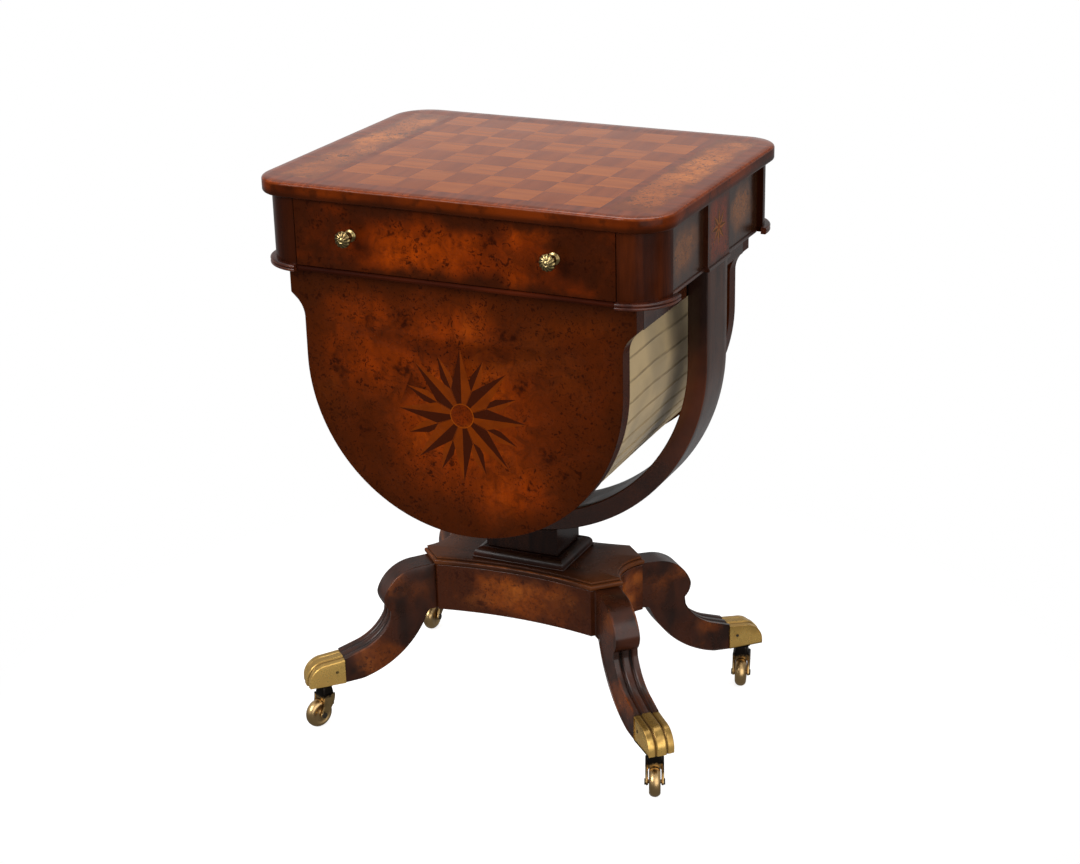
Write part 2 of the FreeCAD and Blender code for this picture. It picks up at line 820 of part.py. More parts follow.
def at_corner(item, x, y, reach="0"):
    """Stand a piece at a reach from one corner of the base, its own X axis outward."""
    shift = f"{reach} * sqrt(0.5)"
    place(item, signed(x, f"({corner_x} + {shift})"), signed(y, f"({corner_y} + {shift})"), "0",
          outward(x, y))
    return item


def toe_rod(x, y, side_low):
    """A cylinder that starts side_low off the middle of a toe and runs across it, for a cap screw."""
    item = doc.addObject("Part::Cylinder", "cross")
    bind(item, "Radius", "cap_screw_radius")
    bind(item, "Height", "cap_screw_length")
    shift = "(ankle_reach + cap_screw_reach) * sqrt(0.5)"
    sideways = f"({side_low}) * sqrt(0.5)"
    place(item, signed(x, f"({corner_x} + {shift})") + f" - {y} * {sideways}",
          signed(y, f"({corner_y} + {shift})") + f" + {x} * {sideways}",
          "caster_height + cap_screw_lift", outward(x, y).multiply(ALONG["y"]))
    return item


def make_legs():
    """Four legs, each with a brass shell over its toe and two small screws."""
    caps = []
    screws = []
    starts = ("cap_width / 2 - cap_screw_length", "-(cap_width / 2)")
    toe_width = "cap_width - cap_wall * 2"
    for name, x, y in CORNERS:
        shaft = at_corner(padded("XZ_Plane", leg_outline(), "leg_width"), x, y)
        toe, filling = [at_corner(padded("XZ_Plane", toe_outline("cap_wall"), toe_width), x, y)
                        for _ in range(2)]
        shell = at_corner(padded("XZ_Plane", toe_outline("0"), "cap_width"), x, y)
        bores = []
        for _ in range(2):
            bore = doc.addObject("Part::Cylinder", "bore")
            bind(bore, "Radius", "pivot_radius + pivot_clearance")
            bind(bore, "Height", "pivot_depth + pivot_clearance")
            at_corner(bore, x, y, pivot_reach)
            bind(bore, "Placement.Base.z", "caster_height")
            bores.append(bore)
        part(f"leg_{name}", cut(fuse(shaft, toe), bores[0], *[toe_rod(x, y, low) for low in starts]))
        caps.append(cut(shell, filling, bores[1], *[toe_rod(x, y, low) for low in starts]))
        screws += [toe_rod(x, y, low) for low in starts]
    part("toe_caps", group(*caps))
    part("cap_screws", group(*screws))


# ---------------------------------------------------------------- casters
REST_HEADING_DEGREES = {"front_left": -112, "front_right": -68, "back_right": -75, "back_left": -90}


def make_caster(name, x, y):
    """A caster: pivot and fork in one piece, a wheel that trails it and the wheel's axle."""
    plate_high = "(caster_height - slide_gap)"
    plate_low = f"({plate_high} - plate_thickness)"
    crown_high = f"({plate_low} - caster_neck_height)"
    crown_low = f"({crown_high} - fork_crown)"
    fork_profile = [
        ("-fork_depth / 2", crown_high),
        ("-fork_depth / 2", crown_low, "fork_back_radius", 1),
        ("caster_trail - fork_end_radius", "wheel_radius", "fork_end_radius", 1),
        ("caster_trail", "wheel_radius - fork_end_radius", "fork_end_radius", 1),
        ("caster_trail + fork_end_radius", "wheel_radius", "fork_front_radius", -1),
        ("fork_depth / 2", crown_high),
    ]
    turn = about_z(REST_HEADING_DEGREES[name])
    pivot_x = signed(x, f"({corner_x} + {pivot_reach} * sqrt(0.5))")
    pivot_y = signed(y, f"({corner_y} + {pivot_reach} * sqrt(0.5))")
    sides = padded("XZ_Plane", fork_profile, f"{fork_half} * 2")
    slot_profile = [
        ("-fork_depth", "0"),
        ("caster_trail + fork_depth", "0"),
        ("caster_trail + fork_depth", crown_low),
        ("-fork_depth", crown_low),
    ]
    slot = padded("XZ_Plane", slot_profile, f"{wheel_inner} * 2")
    plate_outline = [
        ("0", crown_high),
        ("caster_neck_radius", crown_high),
        ("caster_neck_radius", plate_low),
        ("plate_radius", plate_low),
        ("plate_radius", plate_high),
        ("pivot_radius", plate_high),
        ("pivot_radius", f"{plate_high} + pivot_depth"),
        ("0", f"{plate_high} + pivot_depth"),
    ]
    plate = turned("XZ_Plane", plate_outline)
    for item in (sides, slot, plate):
        place(item, pivot_x, pivot_y, "0", turn)

    angle = math.radians(REST_HEADING_DEGREES[name])
    heading = (math.cos(angle), math.sin(angle))
    axle_x = f"({pivot_x} + caster_trail * {heading[0]:.9f})"
    axle_y = f"({pivot_y} + caster_trail * {heading[1]:.9f})"
    hole_half = f"({fork_half} + rivet_height)"
    across = turn.multiply(ALONG["y"])

    def cross(radius, half):
        item = doc.addObject("Part::Cylinder", "cross")
        bind(item, "Radius", radius)
        bind(item, "Height", f"({half}) * 2")
        place(item, f"{axle_x} + ({half}) * {heading[1]:.9f}", f"{axle_y} - ({half}) * {heading[0]:.9f}",
              "wheel_radius", across)
        return item

    part(f"caster_fork_{name}", cut(fuse(sides, plate), slot, cross("axle_radius", hole_half)))
    heads = cut(cross("rivet_radius", hole_half), cross("rivet_radius", fork_half))
    part(f"caster_axle_{name}", fuse(cross("axle_radius", hole_half), heads))

    half = "(wheel_width / 2)"
    wheel_outline = [
        ("axle_radius + axle_clearance", f"-{half}"),
        ("wheel_side_radius", f"-{half}", "tread_radius", 1),
        ("wheel_radius", "0", "tread_radius", 1),
        ("wheel_side_radius", half),
        ("axle_radius + axle_clearance", half),
    ]
    wheel = turned("XY_Plane", wheel_outline)
    place(wheel, axle_x, axle_y, "wheel_radius", turn)
    part(f"caster_wheel_{name}", wheel)


# ---------------------------------------------------------------- basket
def basket_outline():
    """A half-round panel with coved shoulders, drawn about the centre of its curve."""
    top = f"({basket_top} - {basket_centre})"
    shoulder = f"({top} - shoulder_height)"
    step = f"({shoulder} - shoulder_ovolo)"
    cove = f"({step} - cove_height)"
    inner = f"({shoulder_x} - shoulder_step)"
    return [
        (f"-{shoulder_x}", top),
        (shoulder_x, top),
        (shoulder_x, shoulder),
        (inner, step, "cove_radius", 1),
        (basket_radius, cove),
        (basket_radius, "0", basket_radius, -1),
        ("0", f"-{basket_radius}", basket_radius, -1),
        (f"-{basket_radius}", "0"),
        (f"-{basket_radius}", cove, "cove_radius", 1),
        (f"-({inner})", step),
        (f"-{shoulder_x}", shoulder),
    ]


def runner_slots(side):
    """The way through the back panel for one runner, cut down from its top edge."""
    depth = (basket_panel_y, basket_y)
    web_near = f"{flange_near} - drawer_gap"
    web_far = f"{flange_near} + web_width + drawer_gap"
    flange_way = box(span(side, web_near, f"{rail_inner_x} + groove_depth"), depth,
                     (groove_low, f"{groove_high} + slide_gap"))
    web_way = box(span(side, web_near, web_far), depth, (groove_low, basket_top))
    return [flange_way, web_way]


def make_basket():
    """Two half-round panels joined by grooved side rails, with a cloth bag between them."""
    for name, side in (("front", -1), ("back", 1)):
        panel = padded("XZ_Plane", basket_outline(), "basket_panel_thickness")
        place(panel, "0", signed(side, f"({basket_y} - basket_panel_thickness / 2)"), basket_centre)
        slots = runner_slots(-1) + runner_slots(1) if name == "back" else []
        part(f"basket_{name}", cut(panel, basket_star(side), *slots))
    part("basket_star_inlays", group(basket_star(-1), basket_star(1)))

    length = (f"-{basket_panel_y}", basket_panel_y)
    fixed = (f"-{post_y}", post_y)
    runners = []
    for name, side in (("left", -1), ("right", 1)):
        rail = box(span(side, rail_inner_x, shoulder_x), length, (rail_low, basket_top))
        groove = box(span(side, rail_inner_x, f"{rail_inner_x} + groove_depth"), length,
                     (groove_low, f"{groove_high} + slide_gap"))
        part(f"basket_rail_{name}", cut(rail, groove))
        flange = box(span(side, flange_near, flange_far), fixed,
                     (f"{groove_low} + slide_gap", groove_high))
        web = box(span(side, flange_near, f"{flange_near} + web_width"), fixed,
                  (groove_high, carcase_low))
        runners.append(fuse(flange, web))
    part("basket_runners", group(*runners))

    top = f"({basket_top} - bag_drop - {basket_centre})"
    hem = f"({rail_low} - {basket_centre})"
    outer = f"({basket_radius} - bag_inset)"
    bag_outline = [
        (f"-{rail_inner_x}", top),
        (f"-{rail_inner_x}", hem),
        (f"-{outer}", "0", outer, 1),
        ("0", f"-{outer}", outer, 1),
        (outer, "0"),
        (rail_inner_x, hem),
        (rail_inner_x, top),
        (f"{rail_inner_x} - bag_thickness", top),
        (f"{rail_inner_x} - bag_thickness", hem),
        (f"{outer} - bag_thickness", "0", f"{outer} - bag_thickness", -1),
        ("0", f"bag_thickness - {outer}", f"{outer} - bag_thickness", -1),
        (f"bag_thickness - {outer}", "0"),
        (f"bag_thickness - {rail_inner_x}", hem),
        (f"bag_thickness - {rail_inner_x}", top),
    ]
    bag = padded("XZ_Plane", bag_outline, f"{basket_panel_y} * 2")
    place(bag, z=basket_centre)
    part("work_bag", bag)


make_top()
make_frieze()
make_drawer()
make_stand()
make_legs()
for corner_name, corner_side, corner_depth in CORNERS:
    make_caster(corner_name, corner_side, corner_depth)
make_basket()
doc.recompute()

for item in doc.Objects:
    if "Invalid" in item.State or "Error" in item.State:
        raise RuntimeError(f"{item.Name} {item.Label}: {item.State}")
for item in parts:
    if item.Shape.isNull() or not item.Shape.isValid() or not item.Shape.Solids:
        raise RuntimeError(f"{item.Label} has no valid shape")

os.makedirs("parts", exist_ok=True)
for item in parts:
    item.Shape.exportStep(f"parts/{item.Label}.step")
    size = item.Shape.BoundBox
    print(f"{item.Label}: {len(item.Shape.Solids)} solids, {item.Shape.Volume / 1000:.1f} cm3,",
          f"x {size.XMin:.1f} {size.XMax:.1f} y {size.YMin:.1f} {size.YMax:.1f}",
          f"z {size.ZMin:.1f} {size.ZMax:.1f}")
print(len(parts), "parts")
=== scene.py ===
# %% [markdown]
# # A chess table with an inlaid board
# The packed model gives every piece its place and size. This lesson loads it, looks at it
# through a camera, and then dresses it piece by piece. Everything is in metres. The drawer
# side faces -Y, +X is to the right of someone who faces the drawer, and +Z is up.

# %% Load the frame
import json
import math

import bpy
import bmesh
import numpy as np
from mathutils import Matrix, Vector

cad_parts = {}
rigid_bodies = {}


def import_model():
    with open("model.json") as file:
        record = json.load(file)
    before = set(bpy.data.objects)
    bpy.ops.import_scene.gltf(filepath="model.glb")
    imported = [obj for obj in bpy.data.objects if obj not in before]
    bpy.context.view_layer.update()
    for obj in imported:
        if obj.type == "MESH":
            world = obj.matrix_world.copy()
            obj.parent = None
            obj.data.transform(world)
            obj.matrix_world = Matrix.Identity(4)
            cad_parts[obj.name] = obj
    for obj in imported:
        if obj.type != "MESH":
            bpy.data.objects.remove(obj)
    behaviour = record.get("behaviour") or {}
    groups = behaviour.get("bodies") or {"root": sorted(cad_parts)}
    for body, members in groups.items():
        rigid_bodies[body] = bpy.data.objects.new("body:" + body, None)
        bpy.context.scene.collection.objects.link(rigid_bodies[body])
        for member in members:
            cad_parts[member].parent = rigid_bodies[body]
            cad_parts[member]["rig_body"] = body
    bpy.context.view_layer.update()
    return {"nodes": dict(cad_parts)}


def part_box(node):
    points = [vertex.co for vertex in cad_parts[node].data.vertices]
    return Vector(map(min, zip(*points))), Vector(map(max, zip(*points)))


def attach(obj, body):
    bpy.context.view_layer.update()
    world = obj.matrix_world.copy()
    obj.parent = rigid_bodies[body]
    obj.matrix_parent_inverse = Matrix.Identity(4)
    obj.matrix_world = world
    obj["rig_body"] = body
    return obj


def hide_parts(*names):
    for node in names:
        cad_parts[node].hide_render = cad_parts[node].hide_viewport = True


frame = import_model()
nodes = frame["nodes"]
MM = 0.001

# %% [markdown]
# The carcase stands a little behind the origin, because the knobs count in the table's
# length. Its middle is the middle of the base, and every symmetric piece is laid out from it.

# %% Main places
core_low, core_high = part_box("base_core")
MIDDLE_Y = (core_low.y + core_high.y) / 2
print("middle of the carcase at y", round(MIDDLE_Y, 5))

# %% [markdown]
# ## Camera
# The camera stands to the right of the table and a little above it, and looks down at it.
# Its turn is given by three angles: round the table, down towards it, and a slight roll. A
# constraint could aim it, but three angles also hold the roll. The lens is shifted, so that
# the table stands off the middle of the frame without the camera turning away from it.

# %% Camera
CAMERA_PLACE = Vector((1.10600, MIDDLE_Y - 2.31886, 1.37113))
CAMERA_TURN = math.radians(23.40)
CAMERA_DOWN = math.radians(22.26)
CAMERA_ROLL = math.radians(-0.67)
LENS_LENGTH = 72.072
SENSOR_WIDTH = 36
LENS_SHIFT = (-0.06024, 0.04328)
SIGHT_LIMIT = 50
back = Vector((math.sin(CAMERA_TURN) * math.cos(CAMERA_DOWN),
               -math.cos(CAMERA_TURN) * math.cos(CAMERA_DOWN), math.sin(CAMERA_DOWN)))
right = Vector((math.cos(CAMERA_TURN), math.sin(CAMERA_TURN), 0))
up = back.cross(right)
rolled_right = right * math.cos(CAMERA_ROLL) + up * math.sin(CAMERA_ROLL)
rolled_up = up * math.cos(CAMERA_ROLL) - right * math.sin(CAMERA_ROLL)
turn = Matrix((rolled_right, rolled_up, back)).transposed().to_4x4()
camera = bpy.data.objects.new("camera", bpy.data.cameras.new("camera"))
bpy.context.scene.collection.objects.link(camera)
camera.matrix_world = Matrix.Translation(CAMERA_PLACE) @ turn
camera.data.lens = LENS_LENGTH
camera.data.sensor_width = SENSOR_WIDTH
camera.data.shift_x, camera.data.shift_y = LENS_SHIFT
camera.data.clip_end = SIGHT_LIMIT
bpy.context.scene.camera = camera
print("camera", [round(v, 3) for v in camera.location])

# %% [markdown]
# ## Materials
# Every finish is a small graph of nodes. A graph could be clicked together by hand, but here
# many finishes share the same parts, so one class adds nodes and joins their inputs. Its
# short methods each stand for one step that comes back in most finishes: a sum, a distance,
# a soft step from one value to another, or an edge that wanders as if it was hand-stained.

# %% Node helper
class Nodes:
    """A tree of nodes. add() makes one node, sets its options and fills its inputs. The tree
    and the place it measures from are set by the two classes that use this one."""

    def add(self, kind, inputs=None, **options):
        node = self.tree.nodes.new(kind)
        for option, value in options.items():
            setattr(node, option, value)
        for key, value in (inputs or {}).items():
            self.fill(node.inputs[key], value)
        return node

    def fill(self, socket, value):
        if isinstance(value, bpy.types.NodeSocket):
            self.tree.links.new(value, socket)
        else:
            socket.default_value = value

    def math(self, operation, first, second=0.0):
        return self.add("ShaderNodeMath", {0: first, 1: second}, operation=operation).outputs[0]

    def plus(self, first, second):
        return self.math("ADD", first, second)

    def minus(self, first, second):
        return self.math("SUBTRACT", first, second)

    def times(self, first, second):
        return self.math("MULTIPLY", first, second)

    def over(self, first, second):
        return self.math("DIVIDE", first, second)

    def least(self, first, second):
        return self.math("MINIMUM", first, second)

    def most(self, first, second):
        return self.math("MAXIMUM", first, second)

    def off(self, value, middle=0.0):
        """How far a value is from a middle, either way."""
        return self.math("ABSOLUTE", self.minus(value, middle))

    def far(self, first, second):
        """The length of two offsets together: sqrt(first^2 + second^2)."""
        return self.math("SQRT", self.plus(self.times(first, first), self.times(second, second)))

    def fade(self, value, low, high, to_low=0.0, to_high=1.0, easing="SMOOTHSTEP"):
        """to_low below low, to_high above high, and a soft change between them."""
        node = self.add("ShaderNodeMapRange", {"Value": value, "From Min": low, "From Max": high,
                                               "To Min": to_low, "To Max": to_high},
                        interpolation_type=easing)
        return node.outputs["Result"]

    def choose(self, test, otherwise, wanted):
        """One of two numbers: otherwise where test is 0, wanted where it is 1."""
        return self.add("ShaderNodeMix", {0: test, 2: otherwise, 3: wanted}).outputs[0]

    def axes(self):
        node = self.add("ShaderNodeSeparateXYZ", {"Vector": self.place})
        return node.outputs["X"], node.outputs["Y"], node.outputs["Z"]

    def by_ray(self, plain, mirrored, seen):
        """One shader for the light itself, one for mirrored rays, one for what the camera sees."""
        paths = self.add("ShaderNodeLightPath")
        first = self.add("ShaderNodeMixShader", {0: paths.outputs["Is Glossy Ray"], 1: plain,
                                                 2: mirrored})
        second = self.add("ShaderNodeMixShader", {0: paths.outputs["Is Camera Ray"],
                                                  1: first.outputs[0], 2: seen})
        return second.outputs[0]


print("steps for every tree:", [name for name in vars(Nodes) if not name.startswith("_")])

# %% [markdown]
# A finish is a tree of nodes that ends in a surface shader. Beside the sums it needs colours,
# noise and a bump, and it measures from the table's own origin, so that the figure of a wood
# moves along with its piece.

# %% Finish helper
class Graph(Nodes):
    """A material's nodes round its surface shader."""

    def __init__(self, name):
        self.material = bpy.data.materials.new(name)
        self.material.use_nodes = True
        self.tree = self.material.node_tree
        self.shader = self.tree.nodes["Principled BSDF"]
        self.place = self.add("ShaderNodeTexCoord").outputs["Object"]

    def dress(self, inputs):
        """Fill the shader's own inputs, and hand over the finished material."""
        for name, value in inputs.items():
            self.fill(self.shader.inputs[name], value)
        return self.material

    def mix(self, amount, first, second):
        return self.add("ShaderNodeMix", {0: amount, 6: first, 7: second}, data_type="RGBA").outputs[2]

    def stretched(self, scale, shift=(0, 0, 0)):
        node = self.add("ShaderNodeMapping", {"Vector": self.place, "Scale": scale, "Location": shift})
        return node.outputs["Vector"]

    def noise(self, scale, detail=3.0, where=None, distortion=0.0, roughness=0.5):
        node = self.add("ShaderNodeTexNoise", {"Vector": where or self.place, "Scale": scale,
                                               "Detail": detail, "Distortion": distortion,
                                               "Roughness": roughness})
        return node.outputs["Fac"]

    def ragged(self, value, scale, by):
        """A value that wanders by some amount either way, so that its edges look hand-made."""
        return self.plus(value, self.fade(self.noise(scale), 0.3, 0.7, -by, by))

    def marked(self, name):
        """The number that a piece stores on each of its points."""
        return self.add("ShaderNodeAttribute", attribute_name=name).outputs["Fac"]

    def bump(self, height, distance, strength=1.0):
        node = self.add("ShaderNodeBump", {"Height": height, "Distance": distance, "Strength": strength})
        self.fill(self.shader.inputs["Normal"], node.outputs["Normal"])


def colour(red, green, blue):
    """A linear colour with full alpha."""
    return (red, green, blue, 1.0)


print("steps for a finish:", [name for name in vars(Graph) if not name.startswith("_")])

# %% [markdown]
# ### Burl veneer
# Burl is cut from a knotty growth: soft clouds of orange and brown, fine pepper-like specks
# and some dark eyes. It could be one noise, but the eye reads three scales, so clouds come
# from a broad noise, specks from small cells and eyes from large, rarer cells. The maker
# tinted the edges of each panel darker, which the stain gives.

# %% Burl
BURL_DARK = colour(0.050, 0.008, 0.0008)
BURL_MIDDLE = colour(0.150, 0.018, 0.0004)
BURL_BRIGHT = colour(0.250, 0.048, 0.0020)
# How much finer than the eyes, how large within its cell, and the share of cells left empty
SPECK_KINDS = ((9.0, 0.70, 0.35), (4.5, 0.46, 0.55), (1.0, 0.26, 0.74))
SPECK_DARKNESS = 0.78
WANDER = 0.03


def burl_colour(graph, dark, middle, bright, cloud_scale=9.0, eye_scale=26.0, knots=(), stain=None):
    """Clouds over three tones, then a stain, then dark specks and eyes; returns the colour
    socket. stain is an amount and a colour. knots is a list of (point, radius) for eyes that
    sit at chosen places."""
    clouds = graph.noise(cloud_scale, 5.0, distortion=0.5, roughness=0.55)
    tone = graph.mix(graph.fade(clouds, 0.28, 0.48, 0.35, 1.0), dark, middle)
    tone = graph.mix(graph.fade(clouds, 0.48, 0.70), tone, bright)
    mottle = graph.noise(cloud_scale * 6, 6.0, distortion=1.2, roughness=0.65)
    tone = graph.mix(graph.fade(mottle, 0.40, 0.70, 0.0, 0.65), tone, dark)
    if stain:
        tone = graph.mix(stain[0], tone, stain[1])
    grained = graph.noise(1.0, 5.0, graph.stretched((110, 110, 16)), 0.6, 0.65)
    tone = graph.mix(graph.fade(grained, 0.40, 0.75, 0.0, 0.30), tone, dark)
    ink = colour(dark[0] * 0.34, dark[1] * 0.30, dark[2] * 0.6)
    drift = graph.add("ShaderNodeTexNoise", {"Vector": graph.place, "Scale": 90.0}).outputs["Color"]
    wander = graph.add("ShaderNodeMix", {0: WANDER, 4: graph.place, 5: drift},
                       data_type="VECTOR").outputs[1]
    broad = graph.noise(cloud_scale * 1.9, 3.0, graph.stretched((1, 1, 1), (3, 5, 7)))
    patch = graph.fade(broad, 0.38, 0.54, 0.2, 1.0)
    for finer, size, empty in SPECK_KINDS:
        cells = graph.add("ShaderNodeTexVoronoi", {"Vector": wander, "Scale": eye_scale * finer})
        chance = graph.add("ShaderNodeSeparateColor", {"Color": cells.outputs["Color"]})
        here = graph.math("GREATER_THAN", chance.outputs["Red"], empty)
        reach = graph.times(chance.outputs["Green"], size)
        spot = graph.fade(graph.minus(reach, cells.outputs["Distance"]), 0.0, size * 0.4)
        amount = graph.times(graph.times(spot, here), patch)
        tone = graph.mix(graph.times(amount, SPECK_DARKNESS), tone, ink)
    grain = graph.fade(graph.noise(150.0, 5.0), 0.40, 0.62, 0.15, 1.0)
    for point, radius in knots:
        shifted = point * (1 - WANDER) + Vector((WANDER / 2, WANDER / 2, WANDER / 2))
        away = graph.add("ShaderNodeVectorMath", {0: wander, 1: shifted}, operation="DISTANCE")
        amount = graph.times(graph.fade(away.outputs["Value"], radius * 0.25, radius, 0.85, 0.0), grain)
        tone = graph.mix(amount, tone, ink)
    return tone


print("burl has", len(SPECK_KINDS), "kinds of speck")

# %% [markdown]
# ### French polish
# Shellac is rubbed on in many thin coats, which leaves a clear film with faint marks of the
# rubber. A coat layer could stand for it, but dark wood under a single soft highlight looks
# the same, so the gloss and a very shallow bump carry the marks.

# %% French polish
POLISH_INDEX = 1.48


def polish(graph, tone, gloss=0.16, shine=0.5):
    """The colour under a clear French polish, with faint brush-out marks in the gloss. A
    shine of 0.5 is a full polish; less is a surface that has dulled."""
    graph.bump(graph.noise(14.0, 2.0), 0.0006, 0.25)
    rough = graph.fade(graph.noise(35.0, 3.0), 0.3, 0.7, gloss, gloss + 0.10)
    return graph.dress({"Base Color": tone, "Roughness": rough, "IOR": POLISH_INDEX,
                        "Specular IOR Level": shine})


print("index of refraction of the polish", POLISH_INDEX)

# %% [markdown]
# ### Plain woods
# The frame is mahogany: reddish brown, with long streaks along the board. Streaks come from
# noise that is squeezed across the board and stretched along it. The drawer's hidden sides
# are oak, paler and only waxed.

# %% Plain wood
STREAKS = {"x": (6, 70, 70), "y": (70, 6, 70), "z": (70, 70, 6)}
MAHOGANY_DARK = colour(0.030, 0.008, 0.004)
MAHOGANY_LIGHT = colour(0.105, 0.026, 0.008)
OAK_DARK = colour(0.20, 0.115, 0.055)
OAK_LIGHT = colour(0.33, 0.21, 0.11)


def plain_wood(name, dark, light, along="x", gloss=0.2, cloud=True, shine=0.5):
    """Straight-grained wood whose streaks run along one axis."""
    graph = Graph(name)
    streak = graph.noise(1.0, 6.0, graph.stretched(STREAKS[along]), 0.3, 0.6)
    tone = graph.mix(graph.fade(streak, 0.3, 0.7), dark, light)
    if cloud:
        clouds = graph.noise(7.0, 3.0)
        shade = colour(dark[0] * 0.5, dark[1] * 0.5, dark[2] * 0.55)
        tone = graph.mix(graph.fade(clouds, 0.38, 0.64, 0.75, 0.0), tone, shade)
    return polish(graph, tone, gloss, shine)


mahogany_x = plain_wood("mahogany_along_x", MAHOGANY_DARK, MAHOGANY_LIGHT, "x")
mahogany_y = plain_wood("mahogany_along_y", MAHOGANY_DARK, MAHOGANY_LIGHT, "y")
oak = plain_wood("drawer_oak", OAK_DARK, OAK_LIGHT, "y", 0.5, False)
print("plain woods", [wood.name for wood in (mahogany_x, mahogany_y, oak)])

# %% [markdown]
# ### Burl panels
# Drawer front and side blocks are single sheets of burl whose edges the maker stained nearly
# black. On the drawer the dark border is partly painted shade too, most of all along its upper
# edge under the top's overhang. A painted mask would do it, but the distance to the panel's
# edge is simple to work out from its corners, and a little noise keeps the stain's edge from
# looking ruled.

# %% Burl panels
EDGE_STAIN_AND_SHADE = colour(0.022, 0.005, 0.0015)
STAIN_AND_SHADE_STRENGTH = 0.93


def burl_panel(name, low, high, reach, across="x", bright=BURL_BRIGHT, shine=0.5, knots=()):
    """Burl that darkens near a panel's edges: a stain, which on the drawer also stands for painted
    shade. low and high are the panel's corners, across is its level axis, and reach holds how
    far the darkening runs in from the ends and the long edges."""
    graph = Graph(name)
    x, y, z = graph.axes()
    level, index = (x, 0) if across == "x" else (y, 1)
    gaps = []
    for socket, i, far in ((level, index, reach[0]), (z, 2, reach[1])):
        offset = graph.off(socket, (low[i] + high[i]) / 2)
        gaps.append(graph.over(graph.minus((high[i] - low[i]) / 2, offset), far))
    edge = graph.ragged(graph.least(gaps[0], gaps[1]), 22.0, 0.3)
    amount = graph.times(graph.fade(edge, 0.0, 1.0, 1.0, 0.0), STAIN_AND_SHADE_STRENGTH)
    tone = burl_colour(graph, BURL_DARK, BURL_MIDDLE, bright, knots=knots, stain=(amount, EDGE_STAIN_AND_SHADE))
    return polish(graph, tone, 0.18, shine)


print("burl panels darken towards", EDGE_STAIN_AND_SHADE[:3])

# %% [markdown]
# ### Brass and iron
# The castings are old: bright where hands and boots rub them, browner in the hollows. Two
# noises of different size are multiplied, so that the tarnish gathers in irregular patches.

# %% Metals
METAL = 1.0


def metal(name, bright, dull, roughness):
    """Metal with a mottled tarnish."""
    graph = Graph(name)
    spots = graph.noise(60.0, 5.0, roughness=0.65)
    broad = graph.noise(16.0, 3.0)
    amount = graph.times(graph.fade(spots, 0.40, 0.68), graph.fade(broad, 0.35, 0.65))
    graph.bump(graph.noise(220.0, 3.0), 0.0002, 0.25)
    return graph.dress({"Base Color": graph.mix(amount, bright, dull), "Metallic": METAL,
                        "Roughness": graph.fade(spots, 0.35, 0.7, roughness, roughness + 0.14)})


dark_iron = metal("dark_iron", colour(0.12, 0.10, 0.08), colour(0.04, 0.03, 0.025), 0.42)
print("materials", len(bpy.data.materials))

# %% [markdown]
# ## Surfaces
# New pieces are grids of points. A shape is worked out as whole arrays and then handed to
# Blender in one go. Rows or columns can close on themselves, and a row that shrinks to one
# point becomes a pole when its doubles are merged.

# %% Finished pieces
def finish_piece(piece, body, material, sharp=35):
    """Link a piece, shade it, give it its material, and let it ride on its body."""
    bpy.context.scene.collection.objects.link(piece)
    piece.data.shade_smooth()
    piece.data.set_sharp_from_angle(angle=math.radians(sharp))
    piece.data.materials.append(material)
    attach(piece, body)
    return piece


# %% Pieces from grids
DOUBLES = 1e-6


def grid_mesh(name, grids, loop_rows=False, loop_columns=False):
    """One mesh from one or more grids of shape (rows, columns, 3). loop_rows joins the last
    row to the first, loop_columns the last column to the first."""
    points = []
    faces = []
    start = 0
    for grid in grids:
        rows, columns = grid.shape[:2]
        index = start + np.arange(rows * columns).reshape(rows, columns)
        if loop_rows:
            index = np.concatenate([index, index[:1]], 0)
        if loop_columns:
            index = np.concatenate([index, index[:, :1]], 1)
        quads = np.stack([index[:-1, :-1], index[:-1, 1:], index[1:, 1:], index[1:, :-1]], -1)
        faces.append(quads.reshape(-1, 4))
        points.append(grid.reshape(-1, 3))
        start += rows * columns
    mesh = bpy.data.meshes.new(name)
    mesh.from_pydata(np.concatenate(points).tolist(), [], np.concatenate(faces).tolist())
    shape = bmesh.new()
    shape.from_mesh(mesh)
    bmesh.ops.remove_doubles(shape, verts=shape.verts, dist=DOUBLES)
    bmesh.ops.dissolve_degenerate(shape, dist=DOUBLES / 10, edges=shape.edges)
    bmesh.ops.recalc_face_normals(shape, faces=shape.faces)
    shape.to_mesh(mesh)
    shape.free()
    return mesh


def new_piece(name, grids, body, slot, material, sharp=35, **loops):
    """A finished piece from its grids."""
    piece = bpy.data.objects.new(name, grid_mesh(name, grids, **loops))
    return finish_piece(piece, body, material, sharp)


print("points closer than", DOUBLES, "m are merged")

# %% [markdown]
# ### Outlines
# Furniture outlines are drawn with a rule and a pair of compasses, and so are these: lines
# and arcs. Bezier curves could do it, but arcs keep the radius of the workshop's template.

# %% Outlines
def arc(centre, radius, start, stop, count):
    """Points on a circle from one angle to another, in degrees: centre + radius (cos, sin)."""
    angles = np.radians(np.linspace(start, stop, count))
    return np.stack([centre[0] + radius * np.cos(angles), centre[1] + radius * np.sin(angles)], -1)


def straight(first, second, count):
    """Points on a straight line, without the last one."""
    return np.array(first) + np.linspace(0, 1, count, endpoint=False)[:, None] * (np.array(second) - first)


def dense(outline, step):
    """A closed outline with points added so that no edge is longer than a step."""
    result = []
    for a, b in zip(outline, np.roll(outline, -1, 0)):
        count = max(1, int(np.ceil(np.linalg.norm(b - a) / step)))
        result.append(straight(a, b, count))
    return np.concatenate(result)


def outward(outline):
    """Unit normals of a closed outline that runs anticlockwise: the mean of the two
    neighbouring edges' normals, lengthened at corners so that an inset keeps its width."""
    ahead = np.roll(outline, -1, 0) - outline
    ahead /= np.linalg.norm(ahead, axis=1, keepdims=True)
    behind = np.roll(ahead, 1, 0)
    first = np.stack([ahead[:, 1], -ahead[:, 0]], -1)
    second = np.stack([behind[:, 1], -behind[:, 0]], -1)
    total = first + second
    return total * 2 / np.maximum((total ** 2).sum(1, keepdims=True), 0.8)


